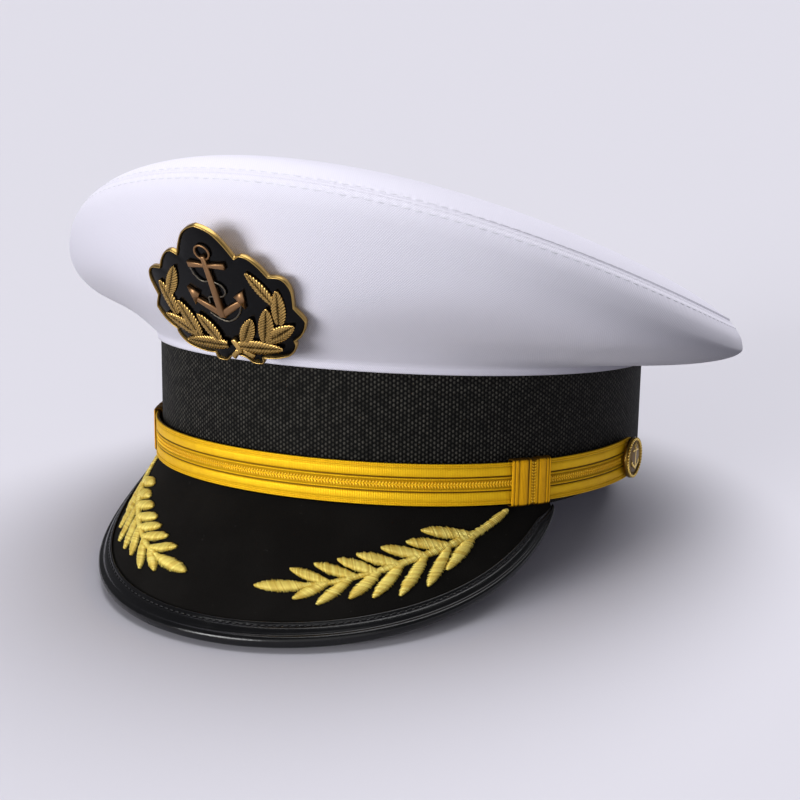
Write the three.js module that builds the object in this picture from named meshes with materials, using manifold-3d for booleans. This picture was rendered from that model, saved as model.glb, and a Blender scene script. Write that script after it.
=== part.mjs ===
// Captain hat: a white cap crown on a black woven band, with a felt visor bound in gloss black,
// two embroidered laurel sprays, a gold chin strap with its keepers and side buttons, and a badge.
// Millimetres, +Z up. The hat is built in its worn frame, with the band's lower edge on z = 0 and
// the front towards -Y, and is then tipped back to lie on its visor and the back of its band.
import * as THREE from 'three';
import { mergeVertices } from 'three/addons/utils/BufferGeometryUtils.js';
import Module from 'manifold-3d';

const DEGREE = Math.PI / 180;
const GAP = 0.3; // clearance between neighbours that touch or are sewn together

// Band: a woven ring, leaning forwards and a little wider at its top
const BAND_HALF_WIDTH = 92;
const BAND_HALF_LENGTH = 98;
const BAND_HEIGHT = 48;
const BAND_WALL = 2.2;
const BAND_LEAN = 4 * DEGREE;
const BAND_FLARE = 0.5 * DEGREE;
const BAND_ARCH = 6; // rise of the lower edge over the ears
const BAND_ARCH_START = 50 * DEGREE;
const BAND_ARCH_END = 150 * DEGREE;

// Crown: its widest line, and the rise of that line above the band
const CROWN_HALF_WIDTH = 133;
const CROWN_HALF_LENGTH = 124;
const CROWN_FORWARD = 5;
const CROWN_WALL = 2;
const CROWN_HEM = 2.5; // upright strip above the band
const CROWN_PROUD = 1.2; // how far the hem stands out from the band
const RIM_RISE_FRONT = 52;
const RIM_RISE_SIDE = 13;
const RIM_RISE_BACK = 20;
const RIM_CREST = 1.7; // squares the raised front
const ROLL_RISE_FRONT = 34; // from the widest line to the top of the rolled rim
const ROLL_RISE_BACK = 12;
const ROLL_FULLNESS = 5; // power of the roll's curve, higher is flatter on top
const TOP_SAG = 1;
const SEAM_INSET = 4.8; // from the widest line in to the rim seam
const SEAM_GAP = GAP;

// The side's curve, as shares of its own reach: how far it drops straight down under the widest
// line, how far it runs on over the hem, and how steeply. The stiffened chest behind the badge
// has values of its own
const RIM_PULL = { front: 0.3, side: 0.6, back: 0.6, chest: 0.63 };
const HEM_PULL = 0.6;
const HEM_SLOPE = { front: 1.3, side: -0.1, back: -1, chest: 0.36 };
const CHEST_HALF_ANGLE = 60 * DEGREE;

// Visor: a sheet of straight rulings from the band down and forwards
const VISOR_REACH = 56.5;
const VISOR_END_REACH = 3;
const VISOR_HALF_ANGLE = 66.4 * DEGREE;
const VISOR_FULLNESS = 0.87;
const VISOR_DROP_FRONT = 50.5 * DEGREE;
const VISOR_DROP_GAIN = 17.5 * DEGREE;
const VISOR_THICKNESS = 2.6;
const VISOR_SEAT = 2.2; // height of its top on the band
const VISOR_TAPER = 0.45; // thickness over reach at the thinned ends

// Binding: a folded strip round the visor's edge
const BINDING_LIP = 7;
const BINDING_WALL = 0.9;
const BINDING_BEAD = 0.7;
const BINDING_TAPER = 0.55; // lip over reach at the ends

// Chin strap, its keepers and buttons
const STRAP_WIDTH = 15;
const STRAP_THICKNESS = 1.1;
const STRAP_RIDGE = 0.4;
const STRAP_PIPING = 1.4;
const STRAP_CENTRE = 4.4;
const STRAP_RISE = 2.2; // lower edge above the band's edge, at the front
const STRAP_LIFT = 4; // further rise of the lower edge at the side
const STRAP_END = 5; // strap beyond the button's middle
const KEEPER_ANGLE = 60 * DEGREE;
const KEEPER_LENGTH = 16;
const KEEPER_WALL = 0.6;
const BUTTON_ANGLE = 94 * DEGREE;
const BUTTON_DIAMETER = 15.5;
const BUTTON_HEIGHT = 3.4;
const BUTTON_RIM = 1.5;
const BUTTON_DISH = 0.9; // depth of the field inside the rim
const BUTTON_EDGE = { back: 0.6, low: 0.7, high: 1.5, crest: 2.3, crestIn: 0.4 }; // the rim's roundness
const BUTTON_DOME = { share: 0.6, drop: 0.3 }; // where the field starts to rise, and how far below its top
const BUTTON_RELIEF = 0.5; // how proud the anchor stands of the field's top
const BUTTON_RELIEF_FOOT = 1; // where the anchor's solid starts over the button's back
const SHANK_SINK = 1; // how far the shank runs into the button
const SHANK_DIAMETER = 2.4;

// Embroidered sprays
const SPRAY_RELIEF = 1.0;
const SPRAY_CLEARANCE = 0.5; // over the visor's true surface
const LEAF_WIDTH = 4.3;
const STEM_WIDTH_TIP = 1.6;
const STEM_WIDTH_BASE = 3;
const STEM_PROUD = 1.2; // the stem's height over the leaves', as a share

// Badge
const BADGE_WIDTH = 61;
const BADGE_HEIGHT = 55.4;
const BADGE_SEAT = 0.433; // share of its height below the middle of the crown's front
const BADGE_LEAN = 5 * DEGREE; // its top leans out from the crown's slope
const BADGE_THICKNESS = 2.2;
const BADGE_BORDER = 0.9;
const BADGE_POCKET = 1.1;
const BADGE_BEND = 180; // radius that follows the front of the crown
const BADGE_STAND = 0.1; // over the gap, for the crown's facets
const ENAMEL_THICKNESS = 0.6;
const RELIEF_THICKNESS = 1.3;
const ANCHOR_THICKNESS = 1.5;

// Facets
const RING_STEPS = 56;
const VISOR_STEPS = 36;
const STRAP_STEPS = 44;
const BUTTON_STEPS = 20;
const SHANK_STEPS = 10;
const KEEPER_STEPS = 5;
const TURN_STEP = 0.01; // radians, for directions worked out from neighbours
const STEM_STEPS = 14;
const HOOP_STEPS = 12;

// The spray's stem from its foot, as shares of the visor's half angle and of its reach there
const STEM_POINTS = [
  { along: 0.828, out: 0.09 },
  { along: 0.726, out: 0.305 },
  { along: 0.66, out: 0.364 },
  { along: 0.569, out: 0.432 },
  { along: 0.486, out: 0.487 },
  { along: 0.434, out: 0.524 },
  { along: 0.357, out: 0.567 },
  { along: 0.307, out: 0.596 },
  { along: 0.22, out: 0.62 },
];

// Its leaves from base to tip in the same shares, and their widths as shares of the leaf width
const SPRAY_LEAVES = [
  { along: 0.244, out: 0.615, tipAlong: 0.108, tipOut: 0.64, width: 1.07 },
  { along: 0.301, out: 0.592, tipAlong: 0.19, tipOut: 0.507, width: 0.9 },
  { along: 0.37, out: 0.56, tipAlong: 0.252, tipOut: 0.466, width: 0.93 },
  { along: 0.422, out: 0.53, tipAlong: 0.312, tipOut: 0.43, width: 0.95 },
  { along: 0.485, out: 0.492, tipAlong: 0.361, tipOut: 0.395, width: 0.98 },
  { along: 0.554, out: 0.445, tipAlong: 0.428, tipOut: 0.35, width: 1 },
  { along: 0.627, out: 0.392, tipAlong: 0.498, tipOut: 0.316, width: 1 },
  { along: 0.7, out: 0.33, tipAlong: 0.542, tipOut: 0.225, width: 1 },
  { along: 0.295, out: 0.6, tipAlong: 0.218, tipOut: 0.712, width: 0.9 },
  { along: 0.355, out: 0.568, tipAlong: 0.282, tipOut: 0.752, width: 0.93 },
  { along: 0.428, out: 0.528, tipAlong: 0.36, tipOut: 0.722, width: 0.98 },
  { along: 0.488, out: 0.49, tipAlong: 0.419, tipOut: 0.733, width: 1 },
  { along: 0.554, out: 0.445, tipAlong: 0.486, tipOut: 0.751, width: 1.02 },
  { along: 0.623, out: 0.395, tipAlong: 0.559, tipOut: 0.723, width: 1.02 },
  { along: 0.705, out: 0.325, tipAlong: 0.611, tipOut: 0.621, width: 1.02 },
];

// Half of a leaf's outline, as shares of its length and width
const LEAF_OUTLINE = [
  { along: 0, half: 0.14 },
  { along: 0.35, half: 0.48 },
  { along: 0.72, half: 0.42 },
  { along: 1, half: 0.04 },
];

// The badge's right half from the top down, as shares of its half width and its height;
// the lobes bulge between the notches
const BADGE_OUTLINE = [
  { across: 0, up: 1 },
  { across: 0.108, up: 0.98 },
  { across: 0.216, up: 0.937 },
  { across: 0.311, up: 0.857 },
  { across: 0.38, up: 0.78 },
  { across: 0.452, up: 0.8 },
  { across: 0.548, up: 0.782 },
  { across: 0.643, up: 0.726 },
  { across: 0.721, up: 0.653 },
  { across: 0.83, up: 0.65 },
  { across: 0.895, up: 0.628 },
  { across: 0.934, up: 0.588 },
  { across: 0.948, up: 0.531 },
  { across: 0.915, up: 0.43 },
  { across: 1, up: 0.343 },
  { across: 0.987, up: 0.3 },
  { across: 0.944, up: 0.255 },
  { across: 0.882, up: 0.215 },
  { across: 0.8, up: 0.184 },
  { across: 0.803, up: 0.157 },
  { across: 0.764, up: 0.114 },
  { across: 0.685, up: 0.076 },
  { across: 0.59, up: 0.058 },
  { across: 0.459, up: 0.045 },
  { across: 0.328, up: 0.045 },
  { across: 0.305, up: 0.004 },
  { across: 0.18, up: 0 },
  { across: 0.098, up: 0.036 },
  { across: 0, up: 0.054 },
];

// One branch of the badge's wreath in the same shares, and its leaves from base to tip, with
// their widths as shares of the leaf width
const WREATH_STEM = [
  { across: 0.02, up: 0.15 },
  { across: 0.52, up: 0.14 },
  { across: 0.76, up: 0.32 },
  { across: 0.68, up: 0.49 },
];
const WREATH_LEAVES = [
  { across: 0.07, up: 0.145, tipAcross: 0.636, tipUp: 0.137, width: 1 },
  { across: 0.14, up: 0.165, tipAcross: 0.357, tipUp: 0.352, width: 0.94 },
  { across: 0.46, up: 0.186, tipAcross: 0.852, tipUp: 0.307, width: 1 },
  { across: 0.43, up: 0.186, tipAcross: 0.587, tipUp: 0.43, width: 1.04 },
  { across: 0.68, up: 0.319, tipAcross: 0.777, tipUp: 0.56, width: 0.94 },
  { across: 0.682, up: 0.47, tipAcross: 0.469, tipUp: 0.686, width: 0.81 },
];
const WREATH_LEAF_WIDTH = 5.3;
const WREATH_STEM_WIDTH = 1.4;
const WREATH_STEM_PROUD = 0.9; // height as a share of the leaves'
const WREATH_TIE = { top: 0.18, foot: 0.09, width: 2.4, proud: 1.1 };

// The anchor, as shares of the badge's half width and height
const ANCHOR = {
  ringUp: 0.792,
  stockUp: 0.724,
  stockHalf: 0.24,
  footUp: 0.348,
  armUp: 0.37,
  elbowAcross: 0.28,
  elbowUp: 0.466,
  flukeAcross: 0.348,
  flukeUp: 0.549,
};
const ANCHOR_RING = 0.112; // the ring's diameter, shank, stock and arms as shares of the height
const ANCHOR_HOOP = 0.018;
const ANCHOR_SHANK = { top: 0.03, foot: 0.05 };
const ANCHOR_STOCK = { middle: 0.026, end: 0.044 };
const ANCHOR_ARM = { middle: 0.05, end: 0.036 };
const ANCHOR_BARB = 0.104; // the fluke's width
const ANCHOR_RING_PROUD = 0.8; // the ring's height as a share of the anchor's

const wasm = await Module();
wasm.setup();

// Geometry helpers

/** Keeps only merged positions, and turns the faces outwards. */
function closed(geometry) {
  const bare = new THREE.BufferGeometry();
  bare.setAttribute('position', geometry.getAttribute('position').clone());
  if (geometry.index) bare.setIndex(geometry.index.clone());
  const merged = mergeVertices(bare, 1e-4);
  const kept = [];
  const index = merged.index.array;
  for (let i = 0; i < index.length; i += 3) {
    const [a, b, c] = [index[i], index[i + 1], index[i + 2]];
    if (a !== b && b !== c && c !== a) kept.push(a, b, c);
  }
  if (signedVolume(merged.getAttribute('position'), kept) < 0) {
    for (let i = 0; i < kept.length; i += 3) [kept[i + 1], kept[i + 2]] = [kept[i + 2], kept[i + 1]];
  }
  merged.setIndex(kept);
  merged.computeVertexNormals();
  return merged;
}

function signedVolume(position, index) {
  const [a, b, c] = [new THREE.Vector3(), new THREE.Vector3(), new THREE.Vector3()];
  let volume = 0;
  for (let i = 0; i < index.length; i += 3) {
    a.fromBufferAttribute(position, index[i]);
    b.fromBufferAttribute(position, index[i + 1]);
    c.fromBufferAttribute(position, index[i + 2]);
    volume += a.dot(b.cross(c));
  }
  return volume;
}

/** Moves every vertex of a geometry to place(x, y, z), and closes the result. */
function warp(geometry, place) {
  const position = geometry.getAttribute('position');
  for (let i = 0; i < position.count; i += 1) {
    const point = place(position.getX(i), position.getY(i), position.getZ(i));
    position.setXYZ(i, point.x, point.y, point.z);
  }
  return closed(geometry);
}

function toManifold(geometry) {
  const solid = closed(geometry);
  const vertProperties = new Float32Array(solid.getAttribute('position').array);
  const triVerts = new Uint32Array(solid.index.array);
  return new wasm.Manifold(new wasm.Mesh({ numProp: 3, vertProperties, triVerts }));
}

function fromManifold(manifold) {
  const mesh = manifold.getMesh();
  const geometry = new THREE.BufferGeometry();
  geometry.setAttribute('position', new THREE.BufferAttribute(new Float32Array(mesh.vertProperties), 3));
  geometry.setIndex(Array.from(mesh.triVerts));
  return closed(geometry);
}

function join(geometries) {
  const [first, ...others] = geometries.map(toManifold);
  return fromManifold(others.reduce((whole, part) => whole.add(part), first));
}

function cut(geometry, tools) {
  return fromManifold(tools.map(toManifold).reduce((whole, tool) => whole.subtract(tool), toManifold(geometry)));
}

/** A straight prism of a polygon, from z = low to z = high. */
function prism(points, low, high, steps = 1, holes = []) {
  const shape = new THREE.Shape(points);
  for (const hole of holes) shape.holes.push(new THREE.Path(hole));
  const solid = new THREE.ExtrudeGeometry(shape, { depth: high - low, steps, bevelEnabled: false });
  solid.translate(0, 0, low);
  return solid;
}

function circle(x, y, radius, sides) {
  const turn = (2 * Math.PI) / sides;
  return Array.from({ length: sides }, (_, i) => (
    new THREE.Vector2(x + radius * Math.cos(i * turn), y + radius * Math.sin(i * turn))
  ));
}

/** A strip along a plane curve, with its width going from startWidth to endWidth. */
function strip(curve, startWidth, endWidth, steps) {
  const [left, right] = [[], []];
  for (let i = 0; i <= steps; i += 1) {
    const share = i / steps;
    const point = curve.getPoint(share);
    const tangent = curve.getTangent(share);
    const half = (startWidth + (endWidth - startWidth) * share) / 2;
    left.push(new THREE.Vector2(point.x - tangent.y * half, point.y + tangent.x * half));
    right.unshift(new THREE.Vector2(point.x + tangent.y * half, point.y - tangent.x * half));
  }
  return [...left, ...right];
}

/** A solid strip along a plane curve, in even steps, so that it can be bent afterwards. */
function ribbon(curve, startWidth, endWidth, height, steps) {
  return warp(new THREE.BoxGeometry(1, 1, 1, steps, 1, 1), (x, y, z) => {
    const share = x + 0.5;
    const point = curve.getPoint(share);
    const tangent = curve.getTangent(share);
    const off = y * (startWidth + (endWidth - startWidth) * share);
    return new THREE.Vector3(point.x - tangent.y * off, point.y + tangent.x * off, (z + 0.5) * height);
  });
}

/** A leaf's outline from its base, pointing at an angle in the plane. */
function leaf(base, angle, length, width) {
  const place = (row, side) => {
    const [along, off] = [row.along * length, row.half * width * side];
    return new THREE.Vector2(
      base.x + along * Math.cos(angle) - off * Math.sin(angle),
      base.y + along * Math.sin(angle) + off * Math.cos(angle),
    );
  };
  const up = LEAF_OUTLINE.map((row) => place(row, -1));
  const down = [...LEAF_OUTLINE].reverse().map((row) => place(row, 1));
  return [...up, ...down];
}

// Forms of the hat, by the angle round it: 0 at the front, a quarter turn at the wearer's left

/** A point of the band's outside at a height, moved out from it by off. */
function ring(angle, height, off = 0) {
  const wider = Math.tan(BAND_FLARE) * height + off;
  return new THREE.Vector3(
    (BAND_HALF_WIDTH + wider) * Math.sin(angle),
    -(BAND_HALF_LENGTH + wider) * Math.cos(angle) - Math.tan(BAND_LEAN) * height,
    height,
  );
}

/** The rise of the widest line and of the rolled rim, at a share of the way out from the middle. */
function rimHeight(angle, share) {
  const middle = (RIM_RISE_FRONT + RIM_RISE_BACK) / 2;
  const level = (middle + RIM_RISE_SIDE) / 2;
  const first = (RIM_RISE_FRONT - RIM_RISE_BACK) / 2 + RIM_CREST;
  const second = (middle - RIM_RISE_SIDE) / 2;
  return BAND_HEIGHT + level
    + share * first * Math.cos(angle)
    + share ** 2 * second * Math.cos(2 * angle)
    - share ** 3 * RIM_CREST * Math.cos(3 * angle);
}

function rollRise(angle, share) {
  const level = (ROLL_RISE_FRONT + ROLL_RISE_BACK) / 2;
  const tilt = (ROLL_RISE_FRONT - ROLL_RISE_BACK) / 2;
  return level + share * tilt * Math.cos(angle);
}

/** A point of the crown's top, from its middle (0) to the widest line (1). */
function crownTopPoint(angle, share) {
  const roll = Math.sqrt(Math.max(0, 1 - share ** ROLL_FULLNESS));
  const sag = TOP_SAG * (1 - share ** 2) ** 2;
  return new THREE.Vector3(
    share * CROWN_HALF_WIDTH * Math.sin(angle),
    -CROWN_FORWARD - share * CROWN_HALF_LENGTH * Math.cos(angle),
    rimHeight(angle, share) + rollRise(angle, share) * roll - sag,
  );
}

/** A value that goes smoothly from the front over the side to the back, with its own on the chest. */
function round({ front, side, back, chest }, angle) {
  const middle = (front + back) / 2;
  const value = (middle + side) / 2
    + ((front - back) / 2) * Math.cos(angle)
    + ((middle - side) / 2) * Math.cos(2 * angle);
  const turn = Math.abs(Math.atan2(Math.sin(angle), Math.cos(angle)));
  const stiff = Math.cos((Math.PI / 2) * Math.min(1, turn / CHEST_HALF_ANGLE)) ** 2;
  return value + (chest - value) * stiff;
}

/** A point of the crown's side, from the top of its hem (0) to the widest line (1). */
function crownSidePoint(angle, share) {
  const hem = hemPoint(angle, 1);
  const rim = crownTopPoint(angle, 1);
  const rise = rim.z - hem.z;
  const underRim = new THREE.Vector3(rim.x, rim.y, rim.z - round(RIM_PULL, angle) * rise);
  const overHem = hem.clone().lerp(rim, HEM_PULL);
  overHem.z = hem.z + HEM_PULL * round(HEM_SLOPE, angle) * rise;
  return new THREE.CubicBezierCurve3(hem, overHem, underRim, rim).getPoint(share);
}

/** A point of the crown's upright hem, from the band (0) to its top (1). */
function hemPoint(angle, share) {
  return ring(angle, BAND_HEIGHT + GAP + share * CROWN_HEM, CROWN_PROUD + share * GAP);
}

/** The share of the way out at which the rim seam lies. */
function seamShare(angle, inset) {
  const reach = Math.hypot(CROWN_HALF_WIDTH * Math.sin(angle), CROWN_HALF_LENGTH * Math.cos(angle));
  return 1 - inset / reach;
}

// Rows of the crown's side from the hem to the seam: which form, and the place on it
const SIDE_ROWS = [
  { form: 'hem', at: 0 },
  { form: 'hem', at: 1 },
  { form: 'side', at: 0.2 },
  { form: 'side', at: 0.4 },
  { form: 'side', at: 0.6 },
  { form: 'side', at: 0.8 },
  { form: 'side', at: 1 },
  { form: 'roll', at: 0.45 },
  { form: 'roll', at: 1 },
];

function sidePoint(angle, row) {
  if (row.form === 'hem') return hemPoint(angle, row.at);
  if (row.form === 'side') return crownSidePoint(angle, row.at);
  return crownTopPoint(angle, seamShare(angle, row.at * SEAM_INSET));
}

/** The direction out of a surface given by point(angle, step), from its neighbours. */
function outward(point, angle, step, reach) {
  const around = point(angle + TURN_STEP, step).sub(point(angle - TURN_STEP, step));
  const along = point(angle, step + reach).sub(point(angle, step - reach));
  return around.cross(along).normalize();
}

/** A closed ring whose section is a wall between two rows of points, by a turned rectangle. */
function ringWall(rows, place) {
  const [near, far] = [1, 2];
  const outside = Array.from({ length: rows }, (_, i) => new THREE.Vector2(far, i));
  const inside = Array.from({ length: rows }, (_, i) => new THREE.Vector2(near, rows - 1 - i));
  const section = [...outside, ...inside, outside[0]];
  const blank = new THREE.LatheGeometry(section, RING_STEPS);
  return warp(blank, (x, y, z) => (
    place(Math.atan2(x, z), Math.round(y), Math.hypot(x, z) > (near + far) / 2)
  ));
}

/** The height of the band's lower edge: flat at the front and back, and arched over the ears. */
function bandEdge(angle) {
  const along = (Math.abs(angle) - BAND_ARCH_START) / (BAND_ARCH_END - BAND_ARCH_START);
  return along > 0 && along < 1 ? BAND_ARCH * Math.sin(Math.PI * along) ** 2 : 0;
}

const BAND_ROWS = [0, 0.5, 1]; // shares of the band's height

function bandGeometry() {
  return ringWall(BAND_ROWS.length, (angle, row, outside) => {
    const height = bandEdge(angle) + BAND_ROWS[row] * (BAND_HEIGHT - bandEdge(angle));
    return ring(angle, height, outside ? 0 : -BAND_WALL);
  });
}

function crownSideGeometry() {
  const sampled = (angle, step) => {
    const low = Math.min(SIDE_ROWS.length - 2, Math.max(0, Math.floor(step)));
    const start = sidePoint(angle, SIDE_ROWS[low]);
    const end = sidePoint(angle, SIDE_ROWS[low + 1]);
    return start.lerp(end, step - low);
  };
  return ringWall(SIDE_ROWS.length, (angle, row, outside) => {
    const point = sidePoint(angle, SIDE_ROWS[row]);
    if (outside) return point;
    if (SIDE_ROWS[row].form === 'hem') {
      return ring(angle, point.z, CROWN_PROUD - CROWN_WALL);
    }
    return point.addScaledVector(outward(sampled, angle, row, 0.5), -CROWN_WALL);
  });
}

// Rows of the crown's top from its middle to the seam, as shares of the way, and the share
// over which its slope is taken
const TOP_ROWS = [0, 0.35, 0.6, 0.78, 0.88, 0.94, 1];
const TOP_REACH = 0.02;

function crownTopGeometry() {
  const edge = (angle) => seamShare(angle, SEAM_INSET + SEAM_GAP);
  const at = (angle, step) => crownTopPoint(angle, step * edge(angle));
  const outside = TOP_ROWS.map((share, i) => new THREE.Vector2(share, i));
  const inside = TOP_ROWS.map((share, i) => new THREE.Vector2(share, -1 - i)).reverse();
  const blank = new THREE.LatheGeometry([...outside, ...inside], RING_STEPS);
  return warp(blank, (x, y, z) => {
    const [angle, over] = [Math.atan2(x, z), y > -0.5];
    const share = TOP_ROWS[over ? Math.round(y) : Math.round(-1 - y)];
    const point = at(angle, share);
    if (over) return point;
    if (share === 0) return point.add(new THREE.Vector3(0, 0, -CROWN_WALL));
    return point.addScaledVector(outward(at, angle, share, TOP_REACH), CROWN_WALL);
  });
}

// Visor

function visorReach(angle) {
  const fill = Math.max(0, 1 - (angle / VISOR_HALF_ANGLE) ** 2) ** VISOR_FULLNESS;
  return VISOR_END_REACH + (VISOR_REACH - VISOR_END_REACH) * fill;
}

function visorDirection(angle) {
  const drop = VISOR_DROP_FRONT + VISOR_DROP_GAIN * (1 - Math.cos(angle));
  return new THREE.Vector3(
    Math.cos(drop) * Math.sin(angle),
    -Math.cos(drop) * Math.cos(angle),
    -Math.sin(drop),
  );
}

function visorThickness(angle) {
  return Math.min(VISOR_THICKNESS, VISOR_TAPER * visorReach(angle));
}

/** A point over the visor: reach along its ruling, and lift off its top face. */
function visorPoint(angle, reach, lift = 0) {
  const at = (turn) => ring(turn, VISOR_SEAT, GAP).addScaledVector(visorDirection(turn), reach);
  const around = at(angle + TURN_STEP).sub(at(angle - TURN_STEP));
  const normal = around.cross(visorDirection(angle)).normalize();
  if (normal.z < 0) normal.negate();
  return at(angle).addScaledVector(normal, lift);
}

const VISOR_UNDERCUT_MOST = 0.9; // share of the reach

/** How far along its ruling the visor's lower face starts, so that its end lies along the band. */
function visorUndercut(angle) {
  const drop = VISOR_DROP_FRONT + VISOR_DROP_GAIN * (1 - Math.cos(angle));
  return visorThickness(angle) * Math.tan(drop);
}

/** An open sweep of a section round the front of the hat, from -span to span. */
function sweep(points, span, steps, place, holes = []) {
  const blank = prism(points, -1, 1, steps, holes);
  return warp(blank, (x, y, z) => place(z * span, x, y));
}

function visorGeometry() {
  const section = [[0, 0], [1, 0], [1, 1], [0, 1]].map(([x, y]) => new THREE.Vector2(x, y));
  return sweep(section, VISOR_HALF_ANGLE, VISOR_STEPS, (angle, out, over) => {
    const start = over > 0.5 ? 0 : Math.min(visorUndercut(angle), visorReach(angle) * VISOR_UNDERCUT_MOST);
    const reach = start + (visorReach(angle) - start) * out;
    return visorPoint(angle, reach, over > 0.5 ? 0 : -visorThickness(angle));
  });
}

// The binding's section: a share of the lip in from the visor's edge, a distance out from it,
// a share of the visor's thickness down, and a distance over it
const BINDING_SECTION = [
  { lip: 1, out: 0, down: 0, over: GAP },
  { lip: 0, out: GAP, down: 0, over: GAP },
  { lip: 0, out: GAP, down: 1, over: -GAP },
  { lip: 0.7, out: 0, down: 1, over: -GAP },
  { lip: 0.7, out: 0, down: 1, over: -GAP - BINDING_WALL },
  { lip: 0, out: GAP + BINDING_WALL / 2, down: 1, over: -GAP - BINDING_WALL },
  { lip: 0, out: GAP + BINDING_WALL + BINDING_BEAD / 2, down: 0.5, over: 0 },
  { lip: 0, out: GAP + BINDING_WALL / 2, down: 0, over: GAP + BINDING_WALL + BINDING_BEAD / 2 },
  { lip: 0.3, out: 0, down: 0, over: GAP + BINDING_WALL + BINDING_BEAD / 2 },
  { lip: 0.5, out: 0, down: 0, over: GAP + BINDING_WALL },
  { lip: 1, out: 0, down: 0, over: GAP + BINDING_WALL },
];

function bindingGeometry() {
  const count = BINDING_SECTION.length;
  const marks = circle(0, 0, 1, count);
  return sweep(marks, VISOR_HALF_ANGLE, VISOR_STEPS, (angle, x, y) => {
    const turn = (Math.atan2(y, x) + 2 * Math.PI) % (2 * Math.PI);
    const row = BINDING_SECTION[Math.round((turn * count) / (2 * Math.PI)) % count];
    const lip = Math.min(BINDING_LIP, BINDING_TAPER * visorReach(angle));
    const reach = visorReach(angle) - row.lip * lip + row.out;
    return visorPoint(angle, reach, row.over - row.down * visorThickness(angle));
  });
}

// Sprays

/** The radius at which the visor's flat pattern keeps its true width. */
function patternRadius() {
  return (BAND_HALF_WIDTH + BAND_HALF_LENGTH) / 2 + (VISOR_REACH * Math.cos(VISOR_DROP_FRONT)) / 2;
}

/** A spot of the flat pattern: x is the length round at its radius, y the reach. */
function patternSpot(along, out) {
  const angle = along * VISOR_HALF_ANGLE;
  return new THREE.Vector2(angle * patternRadius(), out * visorReach(angle));
}

function sprayGeometry(side) {
  const curve = new THREE.SplineCurve(STEM_POINTS.map(({ along, out }) => patternSpot(along, out)));
  const onVisor = (geometry) => warp(geometry, (x, y, z) => (
    visorPoint((side * x) / patternRadius(), y, SPRAY_CLEARANCE + z)
  ));
  const stem = ribbon(curve, STEM_WIDTH_BASE, STEM_WIDTH_TIP, SPRAY_RELIEF * STEM_PROUD, STEM_STEPS);
  const solids = [onVisor(stem)];
  for (const row of SPRAY_LEAVES) {
    const base = patternSpot(row.along, row.out);
    const run = patternSpot(row.tipAlong, row.tipOut).sub(base);
    const outline = leaf(base, Math.atan2(run.y, run.x), run.length(), row.width * LEAF_WIDTH);
    solids.push(onVisor(prism(outline, 0, SPRAY_RELIEF)));
  }
  return join(solids);
}

// Chin strap

const STRAP_STAND = 2 * GAP + KEEPER_WALL; // room for the keeper's inner wall behind the strap

function strapBottom(angle) {
  return STRAP_RISE + STRAP_LIFT * (1 - Math.cos(angle)) ** 2;
}

/** A point of the strap: up from its lower edge, and out from its back. */
function strapPoint(angle, up, out) {
  return ring(angle, strapBottom(angle) + up, STRAP_STAND + out);
}

/** The angle round the band that a length along it takes. */
function angleOf(length, angle) {
  const reach = Math.hypot(BAND_HALF_WIDTH * Math.cos(angle), BAND_HALF_LENGTH * Math.sin(angle));
  return length / reach;
}

function strapGeometry() {
  const low = STRAP_THICKNESS;
  const high = STRAP_THICKNESS + STRAP_RIDGE;
  const inner = (STRAP_WIDTH - STRAP_CENTRE) / 2;
  const face = [
    [0, high], [STRAP_PIPING, high], [STRAP_PIPING, low], [inner, low], [inner, high],
    [STRAP_WIDTH - inner, high], [STRAP_WIDTH - inner, low],
    [STRAP_WIDTH - STRAP_PIPING, low], [STRAP_WIDTH - STRAP_PIPING, high], [STRAP_WIDTH, high],
  ];
  const section = [[0, 0], ...face, [STRAP_WIDTH, 0]].map(([x, y]) => new THREE.Vector2(x, y));
  const span = BUTTON_ANGLE + angleOf(STRAP_END, BUTTON_ANGLE);
  const strap = sweep(section, span, STRAP_STEPS, (angle, up, out) => strapPoint(angle, up, out));
  const holes = [1, -1].map((side) => {
    const hole = new THREE.CylinderGeometry(
      SHANK_DIAMETER / 2 + GAP, SHANK_DIAMETER / 2 + GAP, BUTTON_DIAMETER, 12,
    );
    hole.rotateX(Math.PI / 2);
    return hole.applyMatrix4(buttonFrame(side));
  });
  return cut(strap, holes);
}

function keeperGeometry(side) {
  const outer = STRAP_THICKNESS + STRAP_RIDGE;
  const box = (off) => [
    [-off, -off], [STRAP_WIDTH + off, -off], [STRAP_WIDTH + off, outer + off], [-off, outer + off],
  ].map(([x, y]) => new THREE.Vector2(x, y));
  const half = angleOf(KEEPER_LENGTH / 2, KEEPER_ANGLE);
  const hole = box(GAP).reverse();
  const place = (turn, up, out) => strapPoint(side * (KEEPER_ANGLE + turn), up, out);
  return sweep(box(GAP + KEEPER_WALL), half, KEEPER_STEPS, place, [hole]);
}

/** A frame at a side button's back, with its z axis out of the band. */
function buttonFrame(side) {
  const angle = side * BUTTON_ANGLE;
  const back = STRAP_THICKNESS + STRAP_RIDGE + GAP;
  const at = (turn, up) => strapPoint(turn, up, back);
  const across = (turn) => at(turn, STRAP_WIDTH / 2);
  const around = across(angle + TURN_STEP).sub(across(angle - TURN_STEP)).normalize();
  const up = at(angle, STRAP_WIDTH).sub(at(angle, 0)).normalize();
  const out = around.clone().cross(up).normalize();
  const level = up.clone().cross(out);
  const frame = new THREE.Matrix4().makeBasis(level, up, out);
  return frame.setPosition(across(angle));
}

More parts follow.
